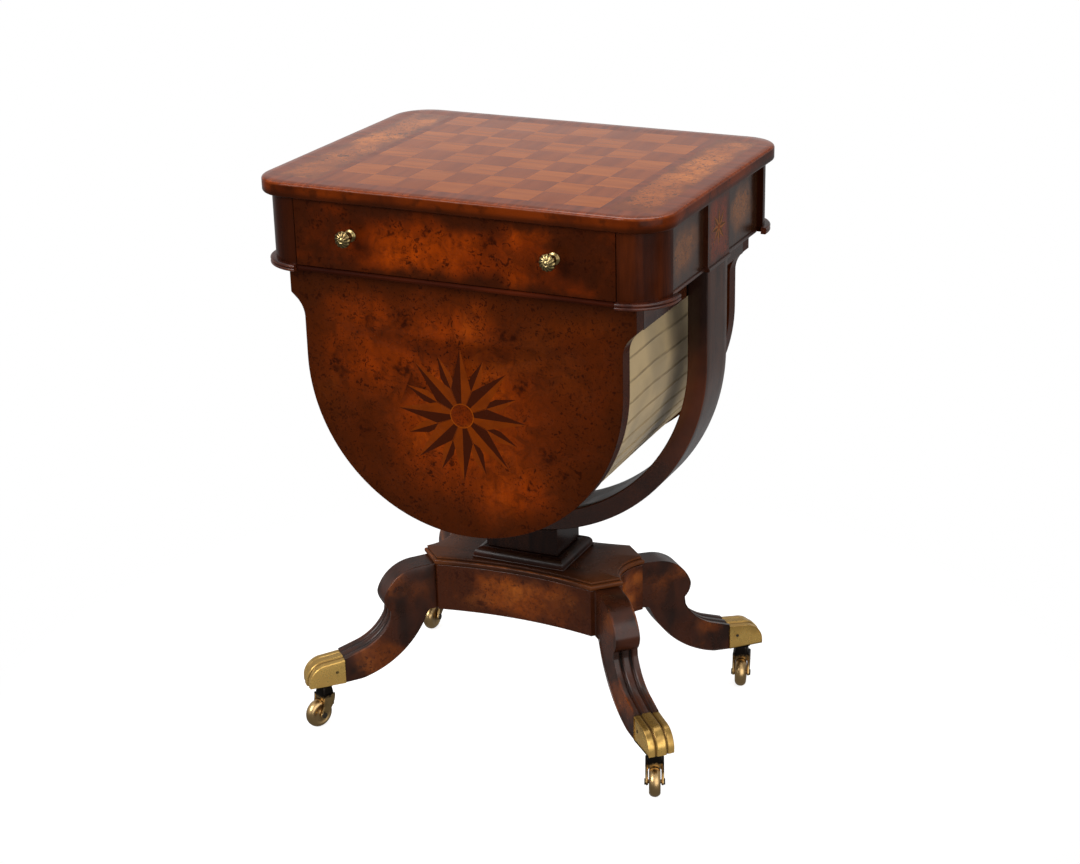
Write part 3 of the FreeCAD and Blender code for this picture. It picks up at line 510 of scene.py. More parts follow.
print("a quarter circle runs from and to", arc((0, 0), 1, 0, 90, 17)[[0, -1]].round(3).tolist())

# %% [markdown]
# ### Slabs
# Top, base and plinth are boards with a moulded edge. A board could be extruded and bevelled,
# but a moulding cutter leaves its own profile, so the outline is copied at each height of
# that profile, moved in by the profile's inset, and both faces are closed to the middle.

# %% Slabs
def shell(outline, centre, profile, rings):
    """Grid rows for a closed slab round an outline. The profile is a list of (inset, height)
    pairs from the lower face to the upper one; rings rows then shrink each face to the
    centre: point = centre + (edge - centre) * share."""
    normals = outward(outline)
    edges = [(outline - normals * inset, np.full(len(outline), height)) for inset, height in profile]
    shares = np.linspace(0, 1, rings, endpoint=False)
    (lowest, bottom), (highest, top) = edges[0], edges[-1]
    rows = [np.column_stack([centre + (lowest - centre) * share, bottom]) for share in shares]
    rows += [np.column_stack(edge) for edge in edges]
    rows += [np.column_stack([centre + (highest - centre) * share, top]) for share in shares[::-1]]
    return np.stack(rows)


def eased(low, high, radius, steps=4):
    """A slab's edge profile, rounded over below and above: quarter circles of one radius."""
    angles = np.radians(np.linspace(90, 0, steps + 1))
    lower = [(radius * (1 - math.cos(a)), low + radius * (1 - math.sin(a))) for a in angles]
    upper = [(radius * (1 - math.cos(a)), high - radius * (1 - math.sin(a))) for a in angles[::-1]]
    return lower + upper


print("an eased edge is drawn with", len(eased(0.0, 0.02, 0.003)), "rows")

# %% [markdown]
# ### Softened copies
# Some CAD pieces have the right shape but knife-sharp edges, which no polished wood keeps.
# A bevel on a copy rounds them. Where a star is let in, the edge stays crisp, because the
# pocket is filled flush and a rounded pocket would show as a gap.

# %% Softened copies
SHARP_EDGE = math.radians(40)


def softened(node, name, material, width=0.6, segments=2, inlays=()):
    """A copy of a CAD node with its doubles merged and its sharp edges rounded, except those
    near an inlay. The width is in millimetres; inlays is a list of (centre, radius)."""
    source = nodes[node]
    mesh = source.data.copy()
    mesh.materials.clear()
    shape = bmesh.new()
    shape.from_mesh(mesh)
    bmesh.ops.remove_doubles(shape, verts=shape.verts, dist=DOUBLES)
    bmesh.ops.dissolve_limit(shape, angle_limit=math.radians(1), verts=shape.verts, edges=shape.edges)
    weight = shape.edges.layers.float.new("bevel_weight_edge")
    for edge in shape.edges:
        middle = (edge.verts[0].co + edge.verts[1].co) / 2
        free = all((middle - centre).length > radius for centre, radius in inlays)
        edge[weight] = float(free and edge.calc_face_angle(0) > SHARP_EDGE)
    shape.to_mesh(mesh)
    shape.free()
    piece = bpy.data.objects.new(name, mesh)
    finish_piece(piece, source["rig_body"], material)
    bevel = piece.modifiers.new("rounded edges", "BEVEL")
    bevel.width = width * MM
    bevel.segments = segments
    bevel.limit_method = "WEIGHT"
    bevel.harden_normals = True
    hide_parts(node)
    return piece


def paint(material, *names):
    """Give CAD nodes whose shape is right their finish."""
    for name in names:
        nodes[name].data.materials.clear()
        nodes[name].data.materials.append(material)


print("edges sharper than", round(math.degrees(SHARP_EDGE)), "degrees are rounded")

# %% [markdown]
# ## Top
# The top is one thick board with a crossbanded border; inside the border the chess squares
# and two burl fields are let in. It could be a plain slab with a drawn-on pattern, but the
# inlays are separate pieces, so the board is a slab with a shallow bed for them. Its edge is
# rounded over above and below.

# %% Top board
top_core_low, top_core_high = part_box("top_core")
border_low, border_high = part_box("top_crossbanding")
fields_low, fields_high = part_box("top_burl_fields")
squares_low, squares_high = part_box("light_squares")
TOP_HALF = np.array([border_high.x - border_low.x, border_high.y - border_low.y]) / 2
TOP_CORNER = 0.047
FIELD_HALF = np.array([fields_high.x - fields_low.x, fields_high.y - fields_low.y]) / 2
SQUARES_HALF = (squares_high.x - squares_low.x) / 2
BAND_OUT = 0.186
print("half sizes: top", TOP_HALF.round(4), "field", FIELD_HALF.round(4), "squares", round(SQUARES_HALF, 4))

# %% Outline of the top
def rounded_rectangle(half, corner, count=14):
    """Anticlockwise outline about the origin: four quarter circles joined by lines."""
    quarters = []
    for sx, sy, start in ((1, 1, 0), (-1, 1, 90), (-1, -1, 180), (1, -1, 270)):
        centre = (sx * (half[0] - corner), sy * (half[1] - corner))
        quarters.append(arc(centre, corner, start, start + 90, count))
    return np.concatenate(quarters)


EDGE_STEP = 0.008
edge_line = dense(rounded_rectangle(TOP_HALF, TOP_CORNER), EDGE_STEP)
print("top outline", len(edge_line), "points")

# %% [markdown]
# The bed for the inlays has square corners, while the board's are round. Each point of the
# board's outline is therefore paired with the point of the bed's edge in the same direction,
# and the four pairs nearest to a corner are moved onto it.

# %% Board with a bed
EDGE_ROUNDING = 0.0032
top_low = top_core_low.z
top_high = border_high.z
bed = top_core_high.z
board_rows = shell(edge_line, np.zeros(2), eased(top_low, top_high, EDGE_ROUNDING), 5)[:-5]
reach = np.min(FIELD_HALF / np.maximum(np.abs(edge_line), 1e-9), axis=1)
field_line = edge_line * reach[:, None]
for sx in (-1, 1):
    for sy in (-1, 1):
        corner = FIELD_HALF * (sx, sy)
        turns = np.arctan2(edge_line[:, 1], edge_line[:, 0]) - math.atan2(corner[1], corner[0])
        field_line[np.argmin(np.abs(turns))] = corner
last = board_rows[-1][:, :2]
rows = [board_rows]
for share in (0.33, 0.66, 1.0):
    ring = last + (field_line - last) * share
    rows.append(np.column_stack([ring, np.full(len(last), top_high)])[None])
for share in (1.0, 0.5, 0.0):
    rows.append(np.column_stack([field_line * share, np.full(len(last), bed)])[None])
board_rows = np.concatenate(rows) + (0, MIDDLE_Y, 0)
print("board", board_rows.shape, "between heights", round(top_low, 4), round(top_high, 4))

# %% Bands beside the squares
bands = []
for sx in (-1, 1):
    middle = np.array([sx * (SQUARES_HALF + BAND_OUT) / 2, 0.0])
    wide = (BAND_OUT - SQUARES_HALF) / 2
    outline = middle + np.array([(-wide, -FIELD_HALF[1]), (wide, -FIELD_HALF[1]), (wide, FIELD_HALF[1]),
                                 (-wide, FIELD_HALF[1])])
    bands.append(shell(outline, middle, [(0, bed), (0, top_high)], 2) + (0, MIDDLE_Y, 0))


print("bands", len(bands))

# %% [markdown]
# ### Finishes of the top
# The squares are veneers of two tones, with the grain of one tone across the other's. Each
# could have a graph of its own, but they differ only in colour and direction, so one
# function makes both. The grain is stretched in the plane and left alone in the height.

# %% Squares
SQUARE_GRAIN = {"x": (8, 70, 1), "y": (70, 8, 1)}


def veneer(name, dark, light, along):
    """Polished veneer for the table's top, with a soft grain and a deep shine."""
    graph = Graph(name)
    streak = graph.noise(1.0, 6.0, graph.stretched(SQUARE_GRAIN[along]), 0.4, 0.6)
    tone = graph.mix(graph.fade(streak, 0.3, 0.7), dark, light)
    clouds = graph.noise(5.0, 2.0)
    tone = graph.mix(graph.fade(clouds, 0.35, 0.65, 0.0, 0.35), tone, dark)
    graph.bump(graph.noise(9.0, 1.0), 0.0006, 0.2)
    rough = graph.fade(graph.noise(30.0, 3.0), 0.3, 0.7, 0.09, 0.14)
    return graph.dress({"Base Color": tone, "Roughness": rough, "IOR": 1.5})


light_veneer = veneer("light_square", colour(0.28, 0.058, 0.004), colour(0.41, 0.100, 0.007), "x")
dark_veneer = veneer("dark_square", colour(0.200, 0.036, 0.003), colour(0.290, 0.060, 0.005), "y")
paint(light_veneer, "light_squares")
paint(dark_veneer, "dark_squares")
print("squares painted with", light_veneer.name, "and", dark_veneer.name)

# %% [markdown]
# The border is crossbanded: its grain runs across each side, so the direction changes at the
# mitred corners. The board's moulded edge is the same wood left darker and duller. One
# material does both, because it can tell the edge from the face by its height.

# %% Crossbanding
def crossbanding_material():
    """Dark banding whose grain runs across each side of the border."""
    graph = Graph("crossbanding")
    x, y, z = graph.axes()
    past_end = graph.minus(graph.off(x), TOP_HALF[0])
    past_side = graph.minus(graph.off(y, MIDDLE_Y), TOP_HALF[1])
    at_end = graph.math("GREATER_THAN", past_end, past_side)
    level = graph.noise(1.0, 6.0, graph.stretched((10, 130, 130)), 0.3)
    upright = graph.noise(1.0, 6.0, graph.stretched((130, 10, 130)), 0.3)
    streak = graph.choose(at_end, upright, level)
    tone = graph.mix(graph.fade(streak, 0.3, 0.7), colour(0.135, 0.022, 0.003),
                     colour(0.230, 0.042, 0.006))
    upper_face = graph.fade(z, top_high - 0.004, top_high - 0.001)
    clouds = graph.fade(graph.noise(12.0, 3.0), 0.35, 0.65)
    specks = graph.fade(graph.noise(55.0, 5.0), 0.52, 0.66, 0.0, 0.6)
    # Painted shade: the lower rounding of the edge faces down under the top and is painted darker.
    underside = graph.fade(z, top_low + 0.003, top_low + 0.010, 0.75, 0.0)
    edge = graph.mix(clouds, colour(0.046, 0.007, 0.001), colour(0.124, 0.018, 0.001))
    edge = graph.mix(specks, edge, colour(0.024, 0.005, 0.001))
    edge = graph.mix(underside, edge, colour(0.018, 0.004, 0.001))
    polish(graph, graph.mix(upper_face, edge, tone), 0.10)
    rim_shine = graph.fade(z, top_high - 0.0012, top_high - 0.0001, 0.10, 0.5)
    return graph.dress({"Specular IOR Level": rim_shine, "IOR": 1.5})


top_board = new_piece("top_board", [board_rows] + bands, "table", "mahogany", crossbanding_material(),
                      sharp=60, loop_columns=True)
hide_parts("top_core", "top_crossbanding")
print("top board wears", top_board.data.materials[0].name)

# %% Burl fields
def field_material():
    """Bright burl that fades into the dark border of each end field."""
    graph = Graph("top_burl")
    x, y, z = graph.axes()
    end = graph.least(graph.minus(graph.off(x), BAND_OUT), graph.minus(FIELD_HALF[0], graph.off(x)))
    side = graph.minus(FIELD_HALF[1], graph.off(y, MIDDLE_Y))
    near = graph.ragged(graph.least(end, graph.times(side, 0.35)), 30.0, 0.006)
    stain = graph.fade(near, -0.003, 0.014, 0.85, 0.0), colour(0.150, 0.030, 0.006)
    tone = burl_colour(graph, colour(0.17, 0.034, 0.004), colour(0.34, 0.080, 0.008),
                       colour(0.54, 0.150, 0.018), 12.0, stain=stain)
    graph.bump(graph.noise(9.0, 1.0), 0.0006, 0.2)
    return graph.dress({"Base Color": tone, "Roughness": 0.11})


paint(field_material(), "top_burl_fields")
print("top board", len(top_board.data.polygons), "faces")

# %% [markdown]
# ## Frieze
# The box under the top has rounded posts at its corners and dark side panels between them.
# Their CAD shapes are right, so each is a softened copy rather than a new surface. The side
# panels carry two burl ovals each, which fade into a border that was stained dark.

# %% Frieze
carcase_low, carcase_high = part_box("corner_posts")
PANEL_MIDDLE = (carcase_low.z + carcase_high.z) / 2
post_material = plain_wood("post_wood", colour(0.028, 0.005, 0.001), colour(0.074, 0.013, 0.002),
                           "z", 0.14, shine=0.12)
softened("corner_posts", "rounded_posts", post_material, 0.5)


OVAL_PLACE = 0.093
OVAL_HALF = (0.048, 0.038)


def side_panel_material():
    """Two burl ovals on each side, one on either side of the block, in a dark border."""
    graph = Graph("side_burl")
    x, y, z = graph.axes()
    across = graph.over(graph.off(graph.off(y, MIDDLE_Y), OVAL_PLACE), OVAL_HALF[0])
    height = graph.over(graph.off(z, PANEL_MIDDLE), OVAL_HALF[1])
    blot = graph.ragged(graph.far(across, height), 34.0, 0.15)
    stain = graph.fade(blot, 0.25, 1.0), colour(0.026, 0.010, 0.005)
    tone = burl_colour(graph, colour(0.09, 0.027, 0.006), colour(0.19, 0.060, 0.011),
                       colour(0.32, 0.110, 0.022), stain=stain)
    return polish(graph, tone)


side_material = side_panel_material()
for side in ("left", "right"):
    softened(f"side_panel_{side}", f"panelled_side_{side}", side_material, 0.4)
print("side panels", side_material.name, "ovals at", OVAL_PLACE, "either way of the middle")

# %% Blocks, rails and back
block_low, block_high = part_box("side_blocks")
block_material = burl_panel("block_burl", block_low, block_high, (0.018, 0.018), "y",
                            colour(0.11, 0.034, 0.008), shine=0.3)
paint(block_material, "side_blocks")
softened("back_panel", "back_board", mahogany_x, 0.8)
rail_wood = plain_wood("rail_wood", colour(0.028, 0.005, 0.002), colour(0.085, 0.012, 0.002),
                       "x", 0.5, shine=0.02)
softened("front_rail", "rail_under_drawer", rail_wood, 0.9)
paint(mahogany_x, "top_rail")
paint(oak, "drawer_runners", "drawer_kickers", "basket_runners")
print("blocks between", [round(v, 4) for v in (*block_low, *block_high)])

# %% [markdown]
# ### Points and marks
# Some finishes follow the shape: brass is bright on a crest and brown in a groove. That
# could be painted by hand, but the shape's own formula already knows the crest, so each
# point of the piece stores a number and the material reads it.

# %% Points and marks
def coordinates(piece):
    """All points of a piece as an array."""
    points = np.empty(len(piece.data.vertices) * 3, np.float32)
    piece.data.vertices.foreach_get("co", points)
    return points.reshape(-1, 3)


def mark(piece, name, values):
    """Store one number on each point of a piece."""
    attribute = piece.data.attributes.new(name, "FLOAT", "POINT")
    attribute.data.foreach_set("value", np.asarray(values, np.float32))


def shrunk(row):
    """A row of the same length whose points all lie in the given row's middle: a pole."""
    return (row.mean(0) + np.zeros_like(row))[None]


print("a closed end lies in the middle:", shrunk(np.array([(0.0, 0.0), (2.0, 2.0)])).tolist())

# %% [markdown]
# ### Corner mouldings
# A double bead runs round the foot of each post. On the table it is a strip bent round the
# corner. A bevel can't make two beads, but a section carried along the corner's path can, and
# the beads' height then tells where dusting has rubbed them to a redder crest.

# %% Moulding helpers
def worn_wood(name, crest):
    """Dark wood whose raised edges are rubbed lighter and redder."""
    graph = Graph(name)
    streak = graph.noise(60.0, 4.0)
    tone = graph.mix(graph.fade(streak, 0.35, 0.65), colour(0.030, 0.006, 0.003),
                     colour(0.070, 0.014, 0.005))
    rub = graph.times(graph.marked("worn"), graph.fade(graph.noise(45.0, 3.0), 0.35, 0.6))
    return polish(graph, graph.mix(rub, tone, crest), 0.22)


def sweep(path, normals, section):
    """A section carried along a level path: point = path + normal * out, at the section's
    height. The section is a closed list of (out, height); both ends are closed by rows that
    shrink to the section's middle."""
    out, height = section[:, 0], section[:, 1]
    level = path[:, None, :] + normals[:, None, :] * out[None, :, None]
    rows = np.concatenate([level, np.broadcast_to(height[None, :, None], (len(path), len(out), 1))], -1)
    return np.concatenate([shrunk(rows[0]), rows, shrunk(rows[-1])])


MOULDING_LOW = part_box("corner_mouldings")[0].z
BEAD = (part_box("corner_mouldings")[1].z - MOULDING_LOW) / 4
BEAD_CENTRE = 0.0051
MOULDING_BACK = -0.0002
bead_low = arc((BEAD_CENTRE, MOULDING_LOW + BEAD), BEAD, -90, 90, 9)
bead_high = arc((BEAD_CENTRE, MOULDING_LOW + 3 * BEAD), BEAD, -90, 90, 9)
moulding_section = np.concatenate([[(MOULDING_BACK, MOULDING_LOW)], bead_low, bead_high[1:],
                                   [(MOULDING_BACK, MOULDING_LOW + 4 * BEAD)]])
print("each bead has a radius of", round(BEAD / MM, 2), "mm")

# %% Corner mouldings
POST_RADIUS = 0.0489
POST_CENTRE = np.array([0.2055, 0.1511])
MOULDING_START = 0.006
mouldings = []
for sx in (-1, 1):
    for sy in (-1, 1):
        bend = arc((0, 0), 1, 0, 90, 17) * (sx, sy)
        path = POST_CENTRE * (sx, sy) + bend * POST_RADIUS
        path = np.concatenate([[(path[0, 0], sy * (POST_CENTRE[1] - MOULDING_START))], path])
        normals = np.concatenate([[(sx, 0)], bend])
        mouldings.append(sweep(path, normals, moulding_section) + (0, MIDDLE_Y, 0))
moulding_material = worn_wood("moulding_wood", colour(0.10, 0.026, 0.010))
bead_mouldings = new_piece("double_bead_mouldings", mouldings, "table", "mahogany", moulding_material,
                           50, loop_columns=True)
points = coordinates(bead_mouldings)
crest = np.abs(((points[:, 2] - MOULDING_LOW) / BEAD) % 2 - 1)
mark(bead_mouldings, "worn", np.clip(1 - crest * 1.6, 0, 1))
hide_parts("corner_mouldings")
paint(mahogany_y, "lower_beads")
print("mouldings", len(bead_mouldings.data.polygons), "faces")

# %% [markdown]
# ## Drawer
# The drawer front is burl with a darkened border; behind it stand plain oak sides. Burl has
# a few large eyes that catch the look at once, so some are set at chosen places, while the
# rest of the figure stays random.

# %% Drawer
def knots_on(face_y, *knots):
    """Knots given as (x, z, radius) on a face that looks along y."""
    return [(Vector((x, face_y, z)), radius) for x, z, radius in knots]


front_low, front_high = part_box("drawer_front")
drawer_knots = knots_on(front_low.y, (-0.081, 0.695, 0.013), (-0.031, 0.694, 0.010),
                        (0.004, 0.692, 0.010), (0.050, 0.697, 0.012))
# The drawer's dark border is partly stain and partly painted shade: the top's overhang shades its upper edge.
drawer_material = burl_panel("drawer_burl", front_low, front_high, (0.190, 0.028),
                             bright=colour(0.28, 0.037, 0.0006), shine=0.05, knots=drawer_knots)
softened("drawer_front", "burl_drawer_front", drawer_material, 0.6)
paint(oak, "drawer_side_left", "drawer_side_right", "drawer_back", "drawer_bottom")
paint(dark_iron, "knob_nuts", "cap_screws", "arm_screws")
print("drawer front with", len(drawer_knots), "knots")

# %% [markdown]
# ### Knobs
# Each knob is a brass rosette on a turned neck. It could be turned and then carved, but one
# formula does both: a profile gives the radius, and a wave round it presses in the petals,
# which wind a little as they near the middle. The same wave tells where dirt has gathered.

# %% Knob shape
knob_low, knob_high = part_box("knob_left")
KNOB_HEIGHT = (knob_low.z + knob_high.z) / 2
KNOB_ACROSS = -(knob_low.x + knob_high.x) / 2
KNOB_RIM = 0.0104
KNOB_SWIRL = 0.6
PETALS = 12
PETAL_PRESS = 0.014
DRAWER_FACE = front_low.y
# Millimetres from the drawer, and the radius there
KNOB_PROFILE = np.array([
    (-0.002, 0), (-0.002, 4.0), (-0.001, 4.0), (0.0, 7.4), (0.6, 7.5), (1.6, 7.4), (2.4, 6.4),
    (2.8, 5.0), (3.6, 4.4), (6.5, 4.0), (10.5, 4.2), (13.0, 5.2), (14.8, 7.2), (16.2, 9.0),
    (17.4, 10.0), (18.6, 10.4), (19.8, 10.2), (20.9, 9.4), (21.8, 8.0), (22.5, 6.2),
    (22.9, 4.4), (22.9, 3.4), (22.5, 2.8), (22.9, 2.2), (23.2, 1.4), (23.4, 0.7), (23.4, 0)])
# How deep the petals are at each point of the profile
KNOB_PETAL = np.array([0] * 13 + [0.03, 0.05, 0.07, 0.07, 0.07, 0.07, 0.06, 0.05] + [0] * 6)


def ridged(turns, radius):
    """1 on a petal's crest and 0 between two: |cos| of half as many turns as there are petals,
    at an angle that winds with the radius: turn + swirl * (1 - radius / rim)."""
    swirl = turns + KNOB_SWIRL * (1 - radius / KNOB_RIM)
    return np.abs(np.cos(swirl * PETALS / 2))


def rosette(side):
    """A turned knob about a level axis: radius as a function of distance from the drawer,
    with twelve petals pressed into its rim and face."""
    turns = np.linspace(0, 2 * math.pi, 96, endpoint=False)
    out, radius = KNOB_PROFILE[:, 0] * MM, KNOB_PROFILE[:, 1] * MM
    wave = ridged(turns[None, :], radius[:, None]) ** 0.6 - 1
    wide = radius[:, None] * (1 + KNOB_PETAL[:, None] * wave)
    x = side * KNOB_ACROSS + wide * np.cos(turns)
    z = KNOB_HEIGHT + wide * np.sin(turns)
    y = DRAWER_FACE - out[:, None] - PETAL_PRESS * KNOB_PETAL[:, None] * wave
    return np.stack([x, y, z], -1)


print("knobs stand at height", KNOB_HEIGHT, "across", KNOB_ACROSS)

# %% Knobs
FACE_START = 0.013
BOSS_RADIUS = 0.0036


def knob_material():
    """Old brass, nearly black between the petals."""
    graph = Graph("knob_brass")
    spots = graph.noise(90.0, 5.0, roughness=0.65)
    tone = graph.mix(graph.fade(spots, 0.40, 0.68), colour(0.50, 0.37, 0.16), colour(0.16, 0.10, 0.04))
    tone = graph.mix(graph.marked("hollow"), tone, colour(0.03, 0.02, 0.01))
    return graph.dress({"Base Color": tone, "Roughness": 0.28, "Metallic": METAL})


knob_brass = knob_material()
for name, side in (("left", -1), ("right", 1)):
    knob = new_piece(f"rosette_knob_{name}", [rosette(side)], "drawer", "brass", knob_brass, 40,
                     loop_columns=True)
    points = coordinates(knob)
    across = points[:, 0] - side * KNOB_ACROSS
    rise = points[:, 2] - KNOB_HEIGHT
    off = np.hypot(rise, across)
    petals = 1 - ridged(np.arctan2(rise, across), off) ** 0.5
    petals = petals * (DRAWER_FACE - points[:, 1] > FACE_START) * (off > BOSS_RADIUS)
    mark(knob, "hollow", np.clip(petals * 1.6, 0, 1))
    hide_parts(f"knob_{name}")
print("knobs", len(knob.data.polygons), "faces each")

# %% [markdown]
# ## Basket
# The two half-round panels carry a compass star and hold the cloth bag between them. The
# panel's edge is rounded, its burl is darker towards the edge, and the star is let in. The
# CAD outline is right, so the panels are softened copies; a stain that leaves clearings
# round the star and beside it does the rest.

# %% Basket places
basket_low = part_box("basket_front")[0]
BASKET_RADIUS = 0.2067
BASKET_CENTRE = basket_low.z + BASKET_RADIUS
star_low, star_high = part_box("basket_star_inlays")
STAR_HEIGHT = (star_low.z + star_high.z) / 2
PANEL_BAND = 0.622
# Clearings in the stain: across, height, reach and strength
CLEARINGS = ((-0.105, 0.555, 0.115, 1.0), (0.060, 0.376, 0.085, 0.95),
             (-0.020, 0.590, 0.110, 0.90), (0.0, STAR_HEIGHT, 0.165, 0.95))
front_knots = knots_on(
    basket_low.y, (-0.075, 0.585, 0.020), (-0.120, 0.575, 0.013), (-0.076, 0.522, 0.017),
    (0.062, 0.582, 0.018), (-0.165, 0.515, 0.018), (-0.135, 0.440, 0.015), (0.080, 0.520, 0.014),
    (0.110, 0.440, 0.015), (0.130, 0.415, 0.012), (0.088, 0.395, 0.009), (-0.108, 0.510, 0.010),
    (0.020, 0.595, 0.010))
print("basket centre at height", round(BASKET_CENTRE, 4), "knots", len(front_knots))

# %% Basket panels
def basket_material():
    """Burl, darker within 30 mm of the curved edge and along the upper band."""
    graph = Graph("basket_burl")
    x, y, z = graph.axes()
    bright = 0.0
    for at_x, at_z, wide, strength in CLEARINGS:
        away = graph.far(graph.minus(x, at_x), graph.minus(z, at_z))
        bright = graph.most(bright, graph.fade(away, wide * 0.1, wide, strength, 0.0))
    below = graph.least(graph.minus(z, BASKET_CENTRE), 0.0)
    gap = graph.minus(BASKET_RADIUS, graph.far(x, below))
    near = graph.ragged(graph.least(gap, graph.minus(PANEL_BAND, z)), 14.0, 0.014)
    clear = graph.times(graph.fade(bright, 0.0, 1.0, 0.22, 1.0), graph.fade(near, -0.008, 0.046, 0.12, 1.0))
    stain = graph.minus(1.0, clear), colour(0.034, 0.0066, 0.0010)
    tone = burl_colour(graph, BURL_DARK, colour(0.198, 0.025, 0.0003), colour(0.340, 0.054, 0.0010),
                       8.0, 30.0, front_knots, stain)
    return polish(graph, tone, 0.2, 0.06)


basket_wood = basket_material()
star_space = [(Vector((0, basket_low.y, STAR_HEIGHT)), 0.090)]
softened("basket_front", "front_half_round", basket_wood, 1.2, 3, star_space)
softened("basket_back", "back_half_round", basket_wood, 1.2, 3)
paint(mahogany_y, "basket_rail_left", "basket_rail_right")
print("basket panels wear", basket_wood.name)

# %% [markdown]
# ### Star inlays
# A compass star is sixteen rays, each of two slips of veneer, one dark and one light, round a
# disc. It could be sixteen small meshes, but the slips lie flush, so only their colours part
# them. The material folds the angle to the nearest ray and asks on which side a point lies.

# %% Star finish
STAR_STEP = math.pi / 4


def kite(graph, along, across, tip, waist, half):
    """How far a point lies inside half a kite: its half width grows evenly to the waist and
    shrinks evenly to the tip. Positive inside."""
    rising = graph.times(along, half / waist)
    falling = graph.times(graph.minus(tip, along), half / (tip - waist))
    return graph.minus(graph.least(rising, falling), graph.off(across))


def folded(graph, angle, shift):
    """The angle from the nearest ray: the share of a step that is left over, less one half."""
    share = graph.math("FRACT", graph.plus(graph.times(angle, 1 / STAR_STEP), 8.5 + shift))
    return graph.times(graph.minus(share, 0.5), STAR_STEP)


def star_material(name, across, centre_z, hub, long_ray, dark, light):
    """Eight long kites over eight short ones. Each is two slips of veneer, dark on the
    anticlockwise side of its centre line; the angle is folded to the nearest ray."""
    graph = Graph(name)
    x, y, z = graph.axes()
    level = x if across == "x" else graph.minus(y, MIDDLE_Y)
    rise = graph.minus(z, centre_z)
    radius = graph.far(level, rise)
    angle = graph.math("ARCTAN2", rise, level)
    turned = folded(graph, angle, 0.0)
    along = graph.times(radius, graph.math("COSINE", turned))
    offset = graph.times(radius, graph.math("SINE", turned))
    inside = graph.math("GREATER_THAN", kite(graph, along, offset, *long_ray), 0.0)
    side = graph.choose(inside, folded(graph, angle, 0.5), turned)
    tone = graph.mix(graph.math("GREATER_THAN", side, 0.0), light, dark)
    disc = burl_colour(graph, BURL_DARK, BURL_MIDDLE, BURL_BRIGHT, 30.0, 60.0)
    ring = colour(light[0] * 1.5, light[1] * 1.7, light[2])
    disc = graph.mix(graph.math("GREATER_THAN", radius, hub * 0.92), disc, ring)
    tone = graph.mix(graph.math("LESS_THAN", radius, hub), tone, disc)
    mottle = graph.noise(50.0, 4.0)
    tone = graph.mix(graph.fade(mottle, 0.35, 0.7, 0.0, 0.3), tone, dark)
    return polish(graph, tone, 0.2, 0.06)


print("long rays every", round(math.degrees(STAR_STEP)), "degrees, short ones between them")

# %% Stars
STAR_DARK = colour(0.036, 0.006, 0.0015)
STAR_LIGHT = colour(0.150, 0.024, 0.0006)
LONG_RAY = (0.0845, 0.033, 0.013)
small_low, small_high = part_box("side_star_inlays")
SMALL_TIP = (small_high.z - small_low.z) / 2
SMALL_RAY = (SMALL_TIP, SMALL_TIP * 0.4, SMALL_TIP * 0.14)
compass_star = star_material("compass_star", "x", STAR_HEIGHT, 0.0155, LONG_RAY, STAR_DARK, STAR_LIGHT)
small_star = star_material("small_star", "y", (small_low.z + small_high.z) / 2, 0.004, SMALL_RAY,
                           colour(0.07, 0.024, 0.008), colour(0.24, 0.080, 0.020))
paint(compass_star, "basket_star_inlays")
paint(small_star, "side_star_inlays")
print("star centre", round(STAR_HEIGHT, 4), "small star tip", round(SMALL_TIP, 4))

# %% [markdown]
# ### Cloth bag
# The bag is a strip of cloth gathered into soft pleats that run from the front panel to the
# back one. A cloth simulation could hang it, but it is stretched between its rails, so the
# pleats are a function: along the curve the cloth's depth rises slowly and drops at each fold.

# %% Cloth bag
bag_low, bag_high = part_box("work_bag")
CLOTH_RADIUS = 0.2042
CLOTH_HALF = (bag_high.y - bag_low.y) / 2
CLOTH_RAIL = 0.1945
RAIL_LOW = 0.600
PLEAT_PITCH = 0.0262
PLEAT_DEPTH = 0.0017


def bag_surface(rows=640, columns=36):
    """The cloth's line hangs down the rail, slants out to the widest place and follows the
    half circle. Depth below that line is a function of (s, y): a fold's saw-tooth, softened,
    with a slow change of its place along y."""
    corner = np.array([(-CLOTH_RAIL, bag_high.z), (-CLOTH_RAIL, RAIL_LOW), (-CLOTH_RADIUS, BASKET_CENTRE)])
    curve = arc((0, BASKET_CENTRE), CLOTH_RADIUS, 180, 360, 181)
    line = np.concatenate([corner, curve[1:-1], corner[::-1] * (-1, 1)])
    steps = np.concatenate([[0], np.cumsum(np.linalg.norm(np.diff(line, axis=0), axis=1))])
    s = np.linspace(0, steps[-1], rows)
    middle = np.stack([np.interp(s, steps, line[:, 0]), np.interp(s, steps, line[:, 1])], -1)
    ahead = np.gradient(middle, axis=0)
    ahead /= np.linalg.norm(ahead, axis=1, keepdims=True)
    inward = np.stack([-ahead[:, 1], ahead[:, 0]], -1)
    y = np.linspace(-CLOTH_HALF, CLOTH_HALF, columns)[None, :]
    s = s[:, None]
    drift = 0.0010 * np.sin(y * 21 + s * 9) + 0.0006 * np.sin(y * 53 - s * 31)
    fold = ((s + drift) / PLEAT_PITCH) % 1
    depth = PLEAT_DEPTH * np.minimum(1, (1 - fold) * 10) * (0.25 + 0.75 * (1 - fold) ** 1.2)
    depth = depth + 0.0006 * (1 + np.sin(y * 15 + s * 12))
    depth = depth + 0.0008 * np.clip(1 - (CLOTH_HALF - np.abs(y)) / 0.02, 0, 1)
    points = middle[:, None, :] + inward[:, None, :] * depth[..., None]
    grid = np.stack([points[..., 0], np.broadcast_to(MIDDLE_Y + y, depth.shape), points[..., 1]], -1)
    return grid, np.broadcast_to(fold, depth.shape), steps[-1]


bag_rows, bag_folds, bag_length = bag_surface()
print("bag: line", round(bag_length, 3), "m long,", round(bag_length / PLEAT_PITCH), "pleats")
